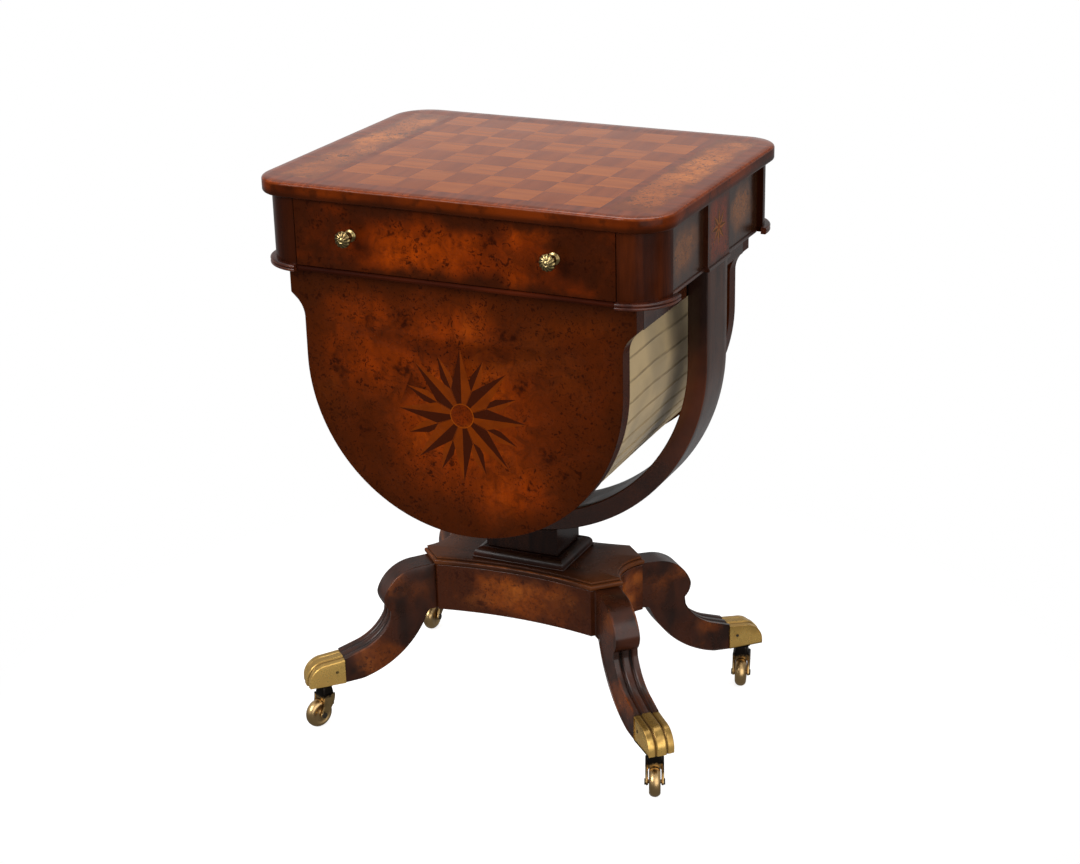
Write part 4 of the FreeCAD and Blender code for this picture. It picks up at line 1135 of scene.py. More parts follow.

# %% [markdown]
# The cloth is a coarse khaki weave. Its threads could be a bump alone, but they also change
# the tone, so a fine wave tints the cloth and a finer noise roughens it. Each fold tucks under
# at a crease, which the surface marks, and painted shade draws a dark line there. There are
# also soft brown stains.

# %% Cloth
def cloth_material():
    """Woven khaki cloth: painted shade as a dark line where each fold tucks under, and soft stains."""
    graph = Graph("khaki_cloth")
    weave = graph.add("ShaderNodeTexWave", {"Vector": graph.place, "Scale": 260.0, "Distortion": 1.5},
                      bands_direction="Y").outputs["Fac"]
    mottle = graph.noise(14.0, 4.0)
    tone = graph.mix(graph.fade(mottle, 0.3, 0.7), colour(0.37, 0.262, 0.120), colour(0.49, 0.350, 0.170))
    tone = graph.mix(graph.times(weave, 0.12), tone, colour(0.25, 0.18, 0.10))
    damp = graph.noise(9.0, 3.0, graph.stretched((1, 1, 0.6), (0.3, 0.1, 0)))
    stain = graph.fade(damp, 0.52, 0.66, 0.0, 0.45)
    tone = graph.mix(stain, tone, colour(0.21, 0.16, 0.09))
    # Painted shade: a dark line in the crease where each fold tucks under.
    crease_shade = graph.fade(graph.marked("fold"), 0.05, 0.95, 0.0, 0.5)
    line = graph.times(crease_shade, graph.fade(mottle, 0.30, 0.60, 0.3, 1.0))
    tone = graph.mix(line, tone, colour(0.13, 0.095, 0.055))
    graph.bump(graph.noise(700.0, 2.0), 0.0002, 0.5)
    return graph.dress({"Base Color": tone, "Roughness": 0.9, "Sheen Weight": 0.2})


bag = new_piece("gathered_bag", [bag_rows], "basket", "pleated_cloth", cloth_material(), 60)
mark(bag, "fold", np.clip(1.6 - np.minimum(bag_folds, 1 - bag_folds).reshape(-1) * 34, 0, 1))
thick = bag.modifiers.new("cloth thickness", "SOLIDIFY")
thick.thickness = 0.0012
thick.offset = -1
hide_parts("work_bag")
print("bag: cloth", round(CLOTH_HALF * 2, 3), "by", round(bag_length * 1.06, 3))

# %% [markdown]
# ## Stand
# Two arms and a half ring carry the box. On the real table they are one bent, veneered
# U, so here one section is carried down an arm, round the curve and up the other arm.

# %% Stand
ARM_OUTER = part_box("u_arm_right")[1].x
ARM_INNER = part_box("u_arm_right")[0].x
ARM_HALF = (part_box("u_arm_right")[1].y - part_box("u_arm_right")[0].y) / 2
ARM_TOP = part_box("u_arm_right")[1].z
CURVE_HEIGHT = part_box("u_curve")[0].z + ARM_OUTER
ARM_ROUNDING = 0.0016


def soft_section(low, high, half, radius, steps=4):
    """Closed rectangle (across, y) with rounded corners: across runs from low to high."""
    corners = []
    for across, y, start in ((high - radius, half - radius, 0), (low + radius, half - radius, 90),
                             (low + radius, radius - half, 180), (high - radius, radius - half, 270)):
        corners.append(arc((across, y), radius, start, start + 90, steps))
    return dense(np.concatenate(corners), 0.012)


def u_surface():
    """Section carried along the U. At an arm, x = out and z falls; on the curve the same
    distance from the centre turns with the angle."""
    section = soft_section(ARM_INNER, ARM_OUTER, ARM_HALF, ARM_ROUNDING)
    out, depth = section[:, 0], section[:, 1]
    upright = np.linspace(ARM_TOP, CURVE_HEIGHT, 8)
    angles = np.radians(np.linspace(180, 360, 97))
    rows = [np.column_stack([-out, depth, np.full(len(out), z)]) for z in upright[:-1]]
    rows += [np.column_stack([out * math.cos(a), depth, CURVE_HEIGHT + out * math.sin(a)]) for a in angles]
    rows += [np.column_stack([out, depth, np.full(len(out), z)]) for z in upright[-2::-1]]
    return np.concatenate([shrunk(rows[0]), rows, shrunk(rows[-1])]) + (0, MIDDLE_Y, 0)


print("arms from", round(ARM_TOP, 4), "to the curve's centre at", round(CURVE_HEIGHT, 4))

# %% [markdown]
# The stand's veneer is dark, with a redder glow on its front faces. Painted shade turns those
# front faces near black towards the top, where the box shades them, and darker towards the
# bottom as well. Its shine fades from the curve up to the box, and the inner face is nearly
# matt. That could be three materials, but one graph can tell the faces apart by their place.

# %% Stand finish
def arm_material():
    """Dark rosewood-coloured veneer with a redder glow on its front edges, which painted shade
    darkens towards the top and the bottom.
    """
    graph = Graph("arm_wood")
    x, y, z = graph.axes()
    streak = graph.noise(1.0, 6.0, graph.stretched((30, 90, 14)), 0.5, 0.6)
    tone = graph.mix(graph.fade(streak, 0.3, 0.7), colour(0.020, 0.006, 0.003), colour(0.050, 0.014, 0.005))
    front = graph.math("LESS_THAN", y, MIDDLE_Y - ARM_HALF + 0.002)
    glow = graph.times(front, graph.fade(graph.noise(9.0, 3.0), 0.38, 0.62, 0.1, 0.8))
    tone = graph.mix(glow, tone, colour(0.100, 0.021, 0.005))
    # Painted shade on the front faces: near black towards the top, for the shadow of the box above, and
    # darker towards the bottom.
    shade = graph.most(graph.fade(z, 0.500, 0.580, 0.0, 0.9), graph.fade(z, 0.280, 0.400, 0.75, 0.0))
    tone = graph.mix(graph.times(front, shade), tone, colour(0.008, 0.004, 0.003))
    polish(graph, tone, 0.17)
    drop = graph.least(graph.minus(z, CURVE_HEIGHT), 0.0)
    inside = graph.fade(graph.minus(graph.far(x, drop), ARM_INNER), 0.0005, 0.002, 0.05, 1.0)
    rubbed = graph.fade(z, 0.36, 0.58, 0.80, 0.28)
    return graph.dress({"Specular IOR Level": graph.times(inside, rubbed)})


arm_wood = arm_material()
u_stand = new_piece("bent_u_stand", [u_surface()], "table", "dark_rosewood", arm_wood, 50,
                    loop_columns=True)
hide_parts("u_arm_left", "u_arm_right", "u_curve")
block_wood = plain_wood("pedestal_wood", colour(0.010, 0.004, 0.003), colour(0.030, 0.009, 0.004),
                        "z", 0.2, shine=0.3)
softened("pedestal_block", "pedestal", block_wood, 1.0)
print("stand", len(u_stand.data.polygons), "faces")

# %% [markdown]
# ### Plinth
# Under the pedestal lies a moulded plinth: a small bead, a step, then a broad quarter round
# that rises to the block. It could be a stack of bevelled boxes, but a moulding plane cuts
# such an edge in one piece, so it is one slab whose edge follows that profile.

# %% Plinth
plinth_low, plinth_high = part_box("plinth_moulding")
PLINTH_BEAD = 0.0018
PLINTH_ROUND = 0.0102
PLINTH_STEP = 0.0010
PLINTH_RIM = ((0.0118, 0.0), (0.0122, -0.0008))
half_x, half_y = ((plinth_high - plinth_low) / 2).xy
rectangle = np.array([(-half_x, -half_y), (half_x, -half_y), (half_x, half_y), (-half_x, half_y)])
steps = [(PLINTH_BEAD * (1 - math.cos(a)), plinth_low.z + PLINTH_BEAD * (1 + math.sin(a)))
         for a in np.linspace(-math.pi / 2, math.pi / 2, 9)]
steps += [(PLINTH_BEAD, plinth_low.z + PLINTH_BEAD * 2 + 0.0002)]
steps += [(PLINTH_STEP + PLINTH_ROUND * (1 - math.cos(a)), plinth_high.z - PLINTH_ROUND * (1 - math.sin(a)))
          for a in np.linspace(0, math.pi / 2, 8)]
steps += [(inset, plinth_high.z + rise) for inset, rise in PLINTH_RIM]
plinth_rows = shell(dense(rectangle, 0.012), np.zeros(2), steps, 3) + (0, MIDDLE_Y, 0)
plinth_wood = plain_wood("plinth_wood", colour(0.012, 0.004, 0.002), colour(0.055, 0.011, 0.003),
                         "x", 0.25, shine=0.2)
plinth = new_piece("moulded_plinth", [plinth_rows], "table", "dark_rosewood", plinth_wood, 30,
                   loop_columns=True)
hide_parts("plinth_moulding")
print("plinth", [round(v, 4) for v in (*plinth_low, *plinth_high)])

# %% [markdown]
# ## Base
# The base has four hollow sides between chamfered corners. Its upper board overhangs the
# core a little, and its edge is a rounded bead. Cutting cylinders out of a box would leave
# the same plan, but a drawn outline also takes the bead and the eased edges along with it.

# %% Base outline
def between(first, second, radius, sense, count):
    """Points on a circle of a given radius from one point to another, without the last one.
    sense is 1 for an anticlockwise path and -1 for a clockwise one."""
    first, second = np.array(first, float), np.array(second, float)
    chord = second - first
    length = np.linalg.norm(chord)
    side = np.array([-chord[1], chord[0]]) / length * sense
    centre = (first + second) / 2 + side * math.sqrt(max(radius ** 2 - length ** 2 / 4, 0))
    start = math.atan2(*(first - centre)[::-1])
    turn_angle = 2 * math.asin(min(1, length / 2 / radius)) * sense
    angles = start + np.linspace(0, turn_angle, count, endpoint=False)
    return np.stack([centre[0] + radius * np.cos(angles), centre[1] + radius * np.sin(angles)], -1)


base_low, base_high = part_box("base_top")
BASE_HALF = (base_high - base_low) / 2
BASE_CHAMFER = 0.031
SIDE_HOLLOW = 0.522
END_HOLLOW = 0.051


def base_line(inset):
    """The base's plan, anticlockwise, with hollow front, back and ends."""
    width, depth = BASE_HALF.x - inset, BASE_HALF.y - inset
    x, y = width - BASE_CHAMFER, depth - BASE_CHAMFER
    return np.concatenate([
        between((-x, -depth), (x, -depth), SIDE_HOLLOW, -1, 28), straight((x, -depth), (width, -y), 6),
        between((width, -y), (width, y), END_HOLLOW, -1, 20), straight((width, y), (x, depth), 6),
        between((x, depth), (-x, depth), SIDE_HOLLOW, -1, 28), straight((-x, depth), (-width, y), 6),
        between((-width, y), (-width, -y), END_HOLLOW, -1, 20), straight((-width, -y), (-x, -depth), 6)])


print("base outline", len(base_line(0.0)), "points, half", [round(v, 4) for v in BASE_HALF])

# %% Base shapes
CORE_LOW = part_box("base_core")[0].z
CORE_INSET = 0.002
board_low, board_high = base_low.z, base_high.z
board_steps = eased(board_low + 0.0001, board_low + 0.0072, 0.0030)
board_steps += [(0.0034, board_low + 0.0074), (0.0034, board_low + 0.0082)]
upper_steps = eased(board_low + 0.0084, board_high, 0.0012)[4:]
board_steps += [(inset + 0.0030, height) for inset, height in upper_steps]
board_rows = shell(base_line(0.0), np.zeros(2), board_steps, 4) + (0, MIDDLE_Y, 0)
core_steps = eased(CORE_LOW, board_low, 0.0012)
core_rows = shell(base_line(CORE_INSET), np.zeros(2), core_steps, 4) + (0, MIDDLE_Y, 0)
print("base from", round(CORE_LOW, 4), "board", round(board_low, 4), round(board_high, 4))

# %% [markdown]
# ### Base finishes
# The core is burl, left clear in the middle of each side and stained by the corners and
# edges. The board over it is plain, with a bead whose crest is rubbed to a thin bright line,
# and painted shade darkens the hollow above it. Both follow from the height, so no image is
# painted for them.

# %% Beaded board of the base
def board_material():
    """Reddish wood; the bead's crest is rubbed to a thin bright line, and the hollow above it is
    painted dark as shade.
    """
    graph = Graph("base_board_wood")
    x, y, z = graph.axes()
    streak = graph.noise(1.0, 6.0, graph.stretched((6, 70, 70)), 0.3, 0.6)
    tone = graph.mix(graph.fade(streak, 0.3, 0.7), colour(0.022, 0.008, 0.004), colour(0.055, 0.015, 0.005))
    end = graph.fade(graph.off(x), 0.070, 0.115)
    tone = graph.mix(graph.times(end, 0.6), tone, colour(0.150, 0.042, 0.010))
    crest = graph.fade(graph.off(z, board_low + 0.0062), 0.0003, 0.0011, 0.55, 0.0)
    rub = graph.times(crest, graph.fade(graph.noise(30.0), 0.4, 0.6, 0.1, 1.0))
    tone = graph.mix(rub, tone, colour(0.240, 0.062, 0.011))
    # Painted shade: the hollow above the bead is painted near black.
    hollow = graph.fade(graph.off(z, board_low + 0.0078), 0.0002, 0.0007, 0.85, 0.0)
    return polish(graph, graph.mix(hollow, tone, colour(0.008, 0.003, 0.002)), 0.25, 0.15)


base_board = new_piece("beaded_base_board", [board_rows], "table", "mahogany", board_material(), 40,
                       loop_columns=True)
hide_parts("base_top")
print("base board", len(base_board.data.polygons), "faces")

# %% Burl of the base
END_FACE = 0.113
EDGE_DARK = colour(0.032, 0.008, 0.003)


def base_material():
    """Burl whose middle is bright on each hollow side, and dark by the corners and edges."""
    graph = Graph("base_burl")
    knots = knots_on(MIDDLE_Y - 0.058, (-0.025, 0.197, 0.006), (-0.018, 0.182, 0.005), (0.006, 0.172, 0.005),
                     (-0.062, 0.196, 0.012), (0.008, 0.200, 0.005), (-0.022, 0.168, 0.003))
    x, y, z = graph.axes()
    along_x = graph.over(graph.off(x), BASE_HALF.x - BASE_CHAMFER)
    along_y = graph.over(graph.off(y, MIDDLE_Y), (BASE_HALF.y - BASE_CHAMFER) * 1.5)
    on_end = graph.math("GREATER_THAN", graph.off(x), END_FACE)
    along = graph.ragged(graph.choose(on_end, along_x, along_y), 20.0, 0.18)
    rim = graph.least(graph.minus(z, CORE_LOW), graph.minus(board_low, z))
    rim = graph.fade(graph.ragged(rim, 30.0, 0.006), -0.002, 0.018)
    amount = graph.minus(1.0, graph.times(graph.fade(along, 0.20, 0.80, 1.0, 0.0), rim))
    tone = burl_colour(graph, colour(0.080, 0.015, 0.002), colour(0.180, 0.035, 0.002),
                       colour(0.310, 0.076, 0.006), 12.0, 34.0, knots, (graph.times(amount, 0.88), EDGE_DARK))
    clear = graph.times(on_end, graph.minus(1.0, amount))
    glow = graph.times(clear, graph.fade(graph.noise(46.0, 5.0), 0.40, 0.62, 0.0, 0.70))
    return polish(graph, graph.mix(glow, tone, colour(0.330, 0.085, 0.011)), 0.22, 0.3)


base_box = new_piece("hollow_sided_base", [core_rows], "table", "burl", base_material(), 40,
                     loop_columns=True)
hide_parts("base_core")
print("base core", len(base_box.data.polygons), "faces")

# %% [markdown]
# ## Legs
# A sabre leg is sawn from a thick board, so its side view never changes across its width.
# Along its outer face runs a reed between two grooves. The leg's outer and inner curves are
# cut into equal numbers of stations, and each station is a rounded rectangle with grooves.
# A bevelled curve would be quicker, but it keeps one thickness, and a leg doesn't.

# %% Leg helpers
LEG_HALF = 0.0165
LEG_CORNER = np.array([0.124, 0.0488])
LEG_GROOVE = 0.0066
LEG_EASE = 0.0014


def along_curve(points, count):
    """Spread a number of points evenly along a line of points."""
    steps = np.concatenate([[0], np.cumsum(np.linalg.norm(np.diff(points, axis=0), axis=1))])
    wanted = np.linspace(0, steps[-1], count)
    return np.stack([np.interp(wanted, steps, points[:, 0]), np.interp(wanted, steps, points[:, 1])], -1)


def eased_width(half, ease, margin, count):
    """Places across a member and how far its face falls back there: a quarter circle at each
    edge and a flat between them."""
    turned = np.linspace(0, math.pi / 2, 4)
    flat = half - ease - margin
    across = np.concatenate([-half + ease * (1 - np.sin(turned)), np.linspace(-flat, flat, count),
                             half - ease * (1 - np.cos(turned[::-1]))])
    edge = np.concatenate([ease * (1 - np.cos(turned[::-1])), np.zeros(count),
                           ease * (1 - np.cos(turned))])
    return across, edge


print("a leg is", LEG_HALF * 2, "m wide, with grooves at", LEG_GROOVE, "m from its middle")

# %% Leg shape
def leg_rows():
    """Stations down the leg. Each is carried from its outer point to its inner point, with
    half widths that shrink round its edges and two grooves in its outer face."""
    knee_out = np.concatenate([straight((0, 0.2095), (0.0255, 0.2080), 6),
                               between((0.0255, 0.2080), (0.071, 0.1705), 0.0524, -1, 22),
                               between((0.071, 0.1705), (0.0625, 0.1505), 0.025, -1, 14)])
    shin_out = np.concatenate([straight((0.0625, 0.1505), (0.0635, 0.1405), 5),
                               between((0.0635, 0.1405), (0.1055, 0.1035), 0.0683, 1, 24),
                               straight((0.1055, 0.1035), (0.1283, 0.096), 8), [(0.1283, 0.096)]])
    knee_in = np.concatenate([straight((0, 0.2095), (0, 0.1455), 30), [(0.0, 0.1455)]])
    shin_in = np.concatenate([straight((0.0095, 0.1455), (0.0125, 0.1425), 3),
                              between((0.0125, 0.1425), (0.1055, 0.0625), 0.131, 1, 40),
                              straight((0.1055, 0.0625), (0.1283, 0.061), 6), [(0.1283, 0.061)]])
    count_knee, count_shin = 34, 44
    outer = np.concatenate([along_curve(knee_out, count_knee), along_curve(shin_out, count_shin)])
    inner = np.concatenate([along_curve(knee_in, count_knee), along_curve(shin_in, count_shin)])
    across, edge = eased_width(LEG_HALF, LEG_EASE, 0.0006, 41)
    reeded = np.clip((np.arange(len(outer)) - count_knee + 1) / 2.0, 0, 1)
    cut = 0.0036 * np.exp(-((np.abs(across) - LEG_GROOVE) / 0.0020) ** 2)
    ahead = inner - outer
    thickness = np.maximum(np.linalg.norm(ahead, axis=1, keepdims=True), 1e-6)
    ahead = ahead / thickness
    depth_out = edge[None, :] + reeded[:, None] * cut[None, :]
    top = outer[:, None, :] + ahead[:, None, :] * np.minimum(depth_out, thickness * 0.5)[..., None]
    bottom = inner[:, None, :] - ahead[:, None, :] * np.minimum(edge[None, :], thickness * 0.5)[..., None]
    loop = np.concatenate([top, bottom[:, ::-1]], 1)
    widths = np.concatenate([across, across[::-1]])
    rows = np.stack([loop[..., 0], np.broadcast_to(widths, loop.shape[:2]), loop[..., 1]], -1)
    return np.concatenate([rows, shrunk(rows[-1])])


leg_grid = leg_rows()
print("leg grid", leg_grid.shape)

# %% Leg places
def out_from(rows, sx, sy):
    """Turn rows so that their x axis points out along a diagonal, and stand them at a corner
    of the base: x' = x cos - y sin, y' = x sin + y cos."""
    angle = math.atan2(sy, sx)
    x = rows[..., 0] * math.cos(angle) - rows[..., 1] * math.sin(angle) + sx * LEG_CORNER[0]
    y = rows[..., 0] * math.sin(angle) + rows[..., 1] * math.cos(angle) + sy * LEG_CORNER[1] + MIDDLE_Y
    return np.stack([x, y, rows[..., 2]], -1)


CORNERS = (("front_left", -1, -1), ("front_right", 1, -1), ("back_right", 1, 1), ("back_left", -1, 1))
print("corners", [name for name, sx, sy in CORNERS])

# %% [markdown]
# The legs are dark, with a patch of burl on each cheek that was left clear. The patch and the
# dark line of painted shade in each groove depend on where a point lies on the leg, not in the
# room, so they are marked on its points: two ovals on the flank, and a band along each groove.

# %% Legs
def leg_material():
    """Dark wood with an orange-brown patch of burl in the middle of each side, and painted shade
    as a dark line in each groove."""
    graph = Graph("leg_wood")
    burl = burl_colour(graph, colour(0.070, 0.015, 0.002), colour(0.150, 0.032, 0.003),
                       colour(0.260, 0.064, 0.006), 18.0)
    side = graph.fade(graph.ragged(graph.marked("side_patch"), 24.0, 0.3), 0.2, 0.9)
    streak = graph.noise(1.0, 5.0, graph.stretched((40, 40, 20)), 0.5)
    dark = graph.mix(graph.fade(streak, 0.3, 0.7), colour(0.018, 0.006, 0.003), colour(0.055, 0.013, 0.004))
    tone = graph.mix(side, dark, burl)
    # Painted shade: the groove's band is painted near black.
    groove = graph.marked("groove")
    return polish(graph, graph.mix(groove, tone, colour(0.006, 0.003, 0.002)), 0.25, 0.4)


leg_wood = leg_material()
for name, sx, sy in CORNERS:
    leg = new_piece(f"sabre_leg_{name}", [out_from(leg_grid, sx, sy)], "table", "dark_rosewood", leg_wood, 40,
                    loop_columns=True)
    points = coordinates(leg) - (sx * LEG_CORNER[0], sy * LEG_CORNER[1] + MIDDLE_Y, 0)
    reach = (points[:, 0] * sx + points[:, 1] * sy) * math.sqrt(0.5)
    off = np.abs(points[:, 0] * sx - points[:, 1] * sy) * math.sqrt(0.5)
    height = points[:, 2]
    knee = 1 - np.hypot((reach - 0.046) / 0.030, (height - 0.175) / 0.034)
    shin = 1 - np.hypot((reach - 0.086) / 0.048, (height - 0.094) / 0.032)
    flank = np.clip((off - LEG_HALF * 0.75) / (LEG_HALF * 0.2), 0, 1)
    share = 0.35 if name == "back_right" else 1.0
    mark(leg, "side_patch", np.clip(np.maximum(knee, shin * share) * 2.4, 0, 1) * flank)
    outside = reach - np.interp(height, (0.06, 0.0960, 0.1035, 0.1155, 0.1405, 0.1505),
                                (0.2, 0.1283, 0.1055, 0.0860, 0.0635, 0.0625))
    # Where the painted shade of each groove lies on the leg.
    line = np.clip(1.3 - np.abs(off - LEG_GROOVE) / 0.0022, 0, 1)
    mark(leg, "groove", line * (outside > -0.008) * (height < 0.150))
    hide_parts(f"leg_{name}")
print("leg", len(leg.data.polygons), "faces")

# %% [markdown]
# ### Toe caps
# A cast brass cap closes each foot, with a broad band between two grooves. It could be a
# softened copy, but the grooves run over the toe, so its upper line is walked from ankle to
# sole and each station is a section with the two grooves cut into it.

# %% Toe cap shape
CAP_BACK = 0.1283
CAP_LOW = 0.061
CAP_HALF = 0.0172
CAP_EDGE = 0.0004
CAP_GROOVE = 0.0074
CAP_GROOVE_WIDTH = 0.0013


def cap_rows():
    """A toe cap: the toe's side view, as wide as the leg, with a broad middle band between two
    grooves. Stations run over the top from the ankle to the nose and down to the sole."""
    top = np.concatenate([straight((CAP_BACK, 0.0955), (0.1508, 0.0930), 10),
                          between((0.1508, 0.0930), (0.1778, 0.0675), 0.027, -1, 26),
                          straight((0.1778, 0.0675), (0.1778, CAP_LOW), 5), [(0.1778, CAP_LOW)]])
    centre = np.array([CAP_BACK, CAP_LOW])
    across, edge = eased_width(CAP_HALF, 0.0012, CAP_EDGE, 61)
    band = np.abs(across)
    groove = 0.0024 * np.exp(-((band - CAP_GROOVE) / CAP_GROOVE_WIDTH) ** 2)
    groove = groove + 0.0010 * np.clip((band - 0.0080) / 0.001, 0, 1)
    groove = groove + 0.0008 * (band / CAP_HALF) ** 2
    depth = edge + groove
    along = np.gradient(top, axis=0)
    along /= np.linalg.norm(along, axis=1, keepdims=True)
    normal = np.stack([-along[:, 1], along[:, 0]], -1)
    over = top[:, None, :] - normal[:, None, :] * depth[None, :, None]
    over[..., 0] = np.maximum(over[..., 0], CAP_BACK)
    over[..., 1] = np.maximum(over[..., 1], CAP_LOW)
    under = np.linspace(1, 0, 8)[1:, None, None] * (over[-1] - centre)[None] + centre
    ankle = np.linspace(0, 1, 8)[1:, None, None] * (over[0] - centre)[None] + centre
    rows = np.concatenate([over, under, ankle[:-1]])
    rows = np.stack([rows[..., 0], np.broadcast_to(across, rows.shape[:2]), rows[..., 1]], -1)
    left_middle = np.broadcast_to([0.148, -CAP_HALF, 0.075], rows[:, :1].shape)
    right_middle = np.broadcast_to([0.148, CAP_HALF, 0.075], rows[:, :1].shape)
    return np.concatenate([left_middle, rows, right_middle], 1)


cap_grid = cap_rows()
print("toe cap grid", cap_grid.shape)

# %% Toe caps
# Strength of the painted dark reflection on each cap's slope; the front right cap gets more.
FRONT_CAP_REFLECTION = 1.15
OTHER_CAP_REFLECTION = 0.6


def cap_material():
    """Rubbed brass that is brown in its grooves, with a painted dark reflection on the slope
    above the nose.
    """
    graph = Graph("cap_brass")
    x, y, z = graph.axes()
    spots = graph.noise(60.0, 5.0, roughness=0.65)
    tone = graph.mix(graph.fade(spots, 0.38, 0.70), colour(0.86, 0.54, 0.15), colour(0.76, 0.45, 0.12))
    wavy_height = graph.ragged(z, 60.0, 0.006)
    # Painted reflection: the slope above the nose is darkened where polished brass would mirror something
    # dark.
    slope = graph.times(graph.marked("crown"), graph.fade(wavy_height, 0.074, 0.088, 0.0, 0.8))
    tone = graph.mix(slope, tone, colour(0.26, 0.15, 0.035))
    tone = graph.mix(graph.times(graph.marked("groove"), 0.9), tone, colour(0.10, 0.045, 0.010))
    graph.bump(graph.noise(220.0, 3.0), 0.0002, 0.25)
    rough = graph.fade(spots, 0.35, 0.7, 0.24, 0.36)
    return graph.dress({"Base Color": tone, "Roughness": rough, "Metallic": 0.72})


caps = [out_from(cap_grid, sx, sy) for name, sx, sy in CORNERS]
toe_caps = new_piece("banded_toe_caps", caps, "table", "brass", cap_material(), 40, loop_rows=True)
points = coordinates(toe_caps) - (0, MIDDLE_Y, 0)
turned_off = np.abs(points[:, 0]) - np.abs(points[:, 1]) - (LEG_CORNER[0] - LEG_CORNER[1])
diagonal = np.abs(turned_off) * math.sqrt(0.5)
mark(toe_caps, "groove", np.exp(-((diagonal - CAP_GROOVE) / CAP_GROOVE_WIDTH) ** 2))
# The crown mark carries the painted dark reflection, stronger on the front right cap.
tarnish = np.where((points[:, 0] > 0) & (points[:, 1] < 0), FRONT_CAP_REFLECTION, OTHER_CAP_REFLECTION)
mark(toe_caps, "crown", np.clip((CAP_HALF - CAP_EDGE - diagonal) / 0.0008, 0, 1) * tarnish)
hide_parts("toe_caps")
print("toe caps", len(toe_caps.data.polygons), "faces")

# %% [markdown]
# ## Casters
# Each foot rolls on a brass caster: a pin and collar, a bell, two horns and a barrel wheel.
# The fork and the wheel are separate pieces, because one swivels and the other turns on its
# axle. They could be softened copies, but the horns taper and the tread is rounded, so the
# horns are slabs with their own outline, and pin and wheel are turned profiles.

# %% Caster places
PLATE_LOW = 0.0562
CROWN_HIGH = 0.0447
TRAIL = 0.011
AXLE_HEIGHT = 0.019
CHEEK_IN = 0.00815
CHEEK_OUT = 0.01175
HEADINGS = {"front_left": -112, "front_right": -68, "back_right": -75, "back_left": -90}


def under_foot(rows, name):
    """Turn rows so that x points along the caster's trail, and stand them at its pivot: the
    axle's middle less the trail."""
    low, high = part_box(f"caster_axle_{name}")
    angle = math.radians(HEADINGS[name])
    pivot_x = (low.x + high.x) / 2 - TRAIL * math.cos(angle)
    pivot_y = (low.y + high.y) / 2 - TRAIL * math.sin(angle)
    x = pivot_x + rows[..., 0] * math.cos(angle) - rows[..., 1] * math.sin(angle)
    y = pivot_y + rows[..., 0] * math.sin(angle) + rows[..., 1] * math.cos(angle)
    return np.stack([x, y, rows[..., 2]], -1)


def lathe(profile, count=40):
    """A profile of (radius, height) pairs turned about the upright axis."""
    turns = np.linspace(0, 2 * math.pi, count, endpoint=False)
    radius, height = np.array(profile)[:, 0, None], np.array(profile)[:, 1, None]
    level = np.broadcast_to(height, (len(profile), count))
    return np.stack([radius * np.cos(turns), radius * np.sin(turns), level], -1)


print("caster headings", HEADINGS)

# %% Fork shapes
def cheek(side):
    """One side of the fork: a horn-shaped slab with rounded edges that tapers to the axle."""
    outline = np.concatenate([
        straight((-0.009, CROWN_HIGH), (-0.009, 0.0402), 4),
        between((-0.009, 0.0402), (0.0062, AXLE_HEIGHT), 0.030, 1, 16),
        between((0.0062, AXLE_HEIGHT), (0.0158, AXLE_HEIGHT), 0.0048, 1, 16),
        between((0.0158, AXLE_HEIGHT), (0.009, CROWN_HIGH), 0.040, -1, 16),
        straight((0.009, CROWN_HIGH), (-0.009, CROWN_HIGH), 8)])
    slab = shell(outline, np.array([0.004, 0.033]), eased(CHEEK_IN, CHEEK_OUT, 0.0015), 3)
    return np.stack([slab[..., 0], slab[..., 2] * side, slab[..., 1]], -1)


def crown():
    """The bell above the wheel: rings that widen downwards, closed below by a face that keeps
    1.4 mm off the wheel: height = axle + sqrt(r^2 - (x - trail)^2), where r falls away from
    the tread's middle."""
    turns = np.linspace(0, 2 * math.pi, 48, endpoint=False)
    squared = np.stack([np.cos(turns), np.sin(turns)], -1)
    squared = squared / np.maximum(np.abs(squared).max(1, keepdims=True), 0.80)
    levels = np.array([(0, PLATE_LOW), (0.0088, PLATE_LOW), (0.0098, 0.0545), (0.0104, 0.0505),
                       (0.0112, 0.0465), (0.0117, 0.0430), (0.0117, 0.0405)])
    wide = levels[:, 0, None] * squared[None, :, 1] * 0.80
    long = np.minimum(levels[:, 0, None] * squared[None, :, 0] * 0.80, 0.0090)
    rows = [np.stack([long, wide, np.broadcast_to(levels[:, 1, None], long.shape)], -1)]
    for share in (1.0, 0.85, 0.70, 0.55, 0.40, 0.20, 0.0):
        x, y = long[-1] * share, wide[-1] * share
        reach = 0.0204 - 0.0042 * (y / 0.0078) ** 2
        low = AXLE_HEIGHT + np.sqrt(np.maximum(reach ** 2 - (x - TRAIL) ** 2, 0.0090 ** 2))
        rows.append(np.stack([x, y, np.minimum(low, 0.0402)], -1)[None])
    return np.concatenate(rows)


print("cheek grid", cheek(1).shape, "bell grid", crown().shape)

# %% Wheel shape
def wheel_rows():
    """A barrel wheel about the level axis: a closed section of (across, radius) with a raised
    hub and a rounded tread."""
    half = [(7.0, 2.7), (7.1, 4.6), (6.5, 5.6), (6.3, 8.5), (6.4, 11.6), (7.2, 12.8), (7.2, 14.3),
            (6.5, 15.9), (5.3, 17.2), (3.7, 18.3), (1.9, 18.85)]
    section = np.array([(-a, r) for a, r in half] + [(0, 19.0)] + half[::-1]) * MM
    turns = np.linspace(0, 2 * math.pi, 56, endpoint=False)
    across, radius = section[:, 0, None], section[:, 1, None]
    return np.stack([TRAIL + radius * np.cos(turns), np.broadcast_to(across, (len(section), 56)),
                     AXLE_HEIGHT + radius * np.sin(turns)], -1)


wheel_grid = wheel_rows()
print("wheel grid", wheel_grid.shape)

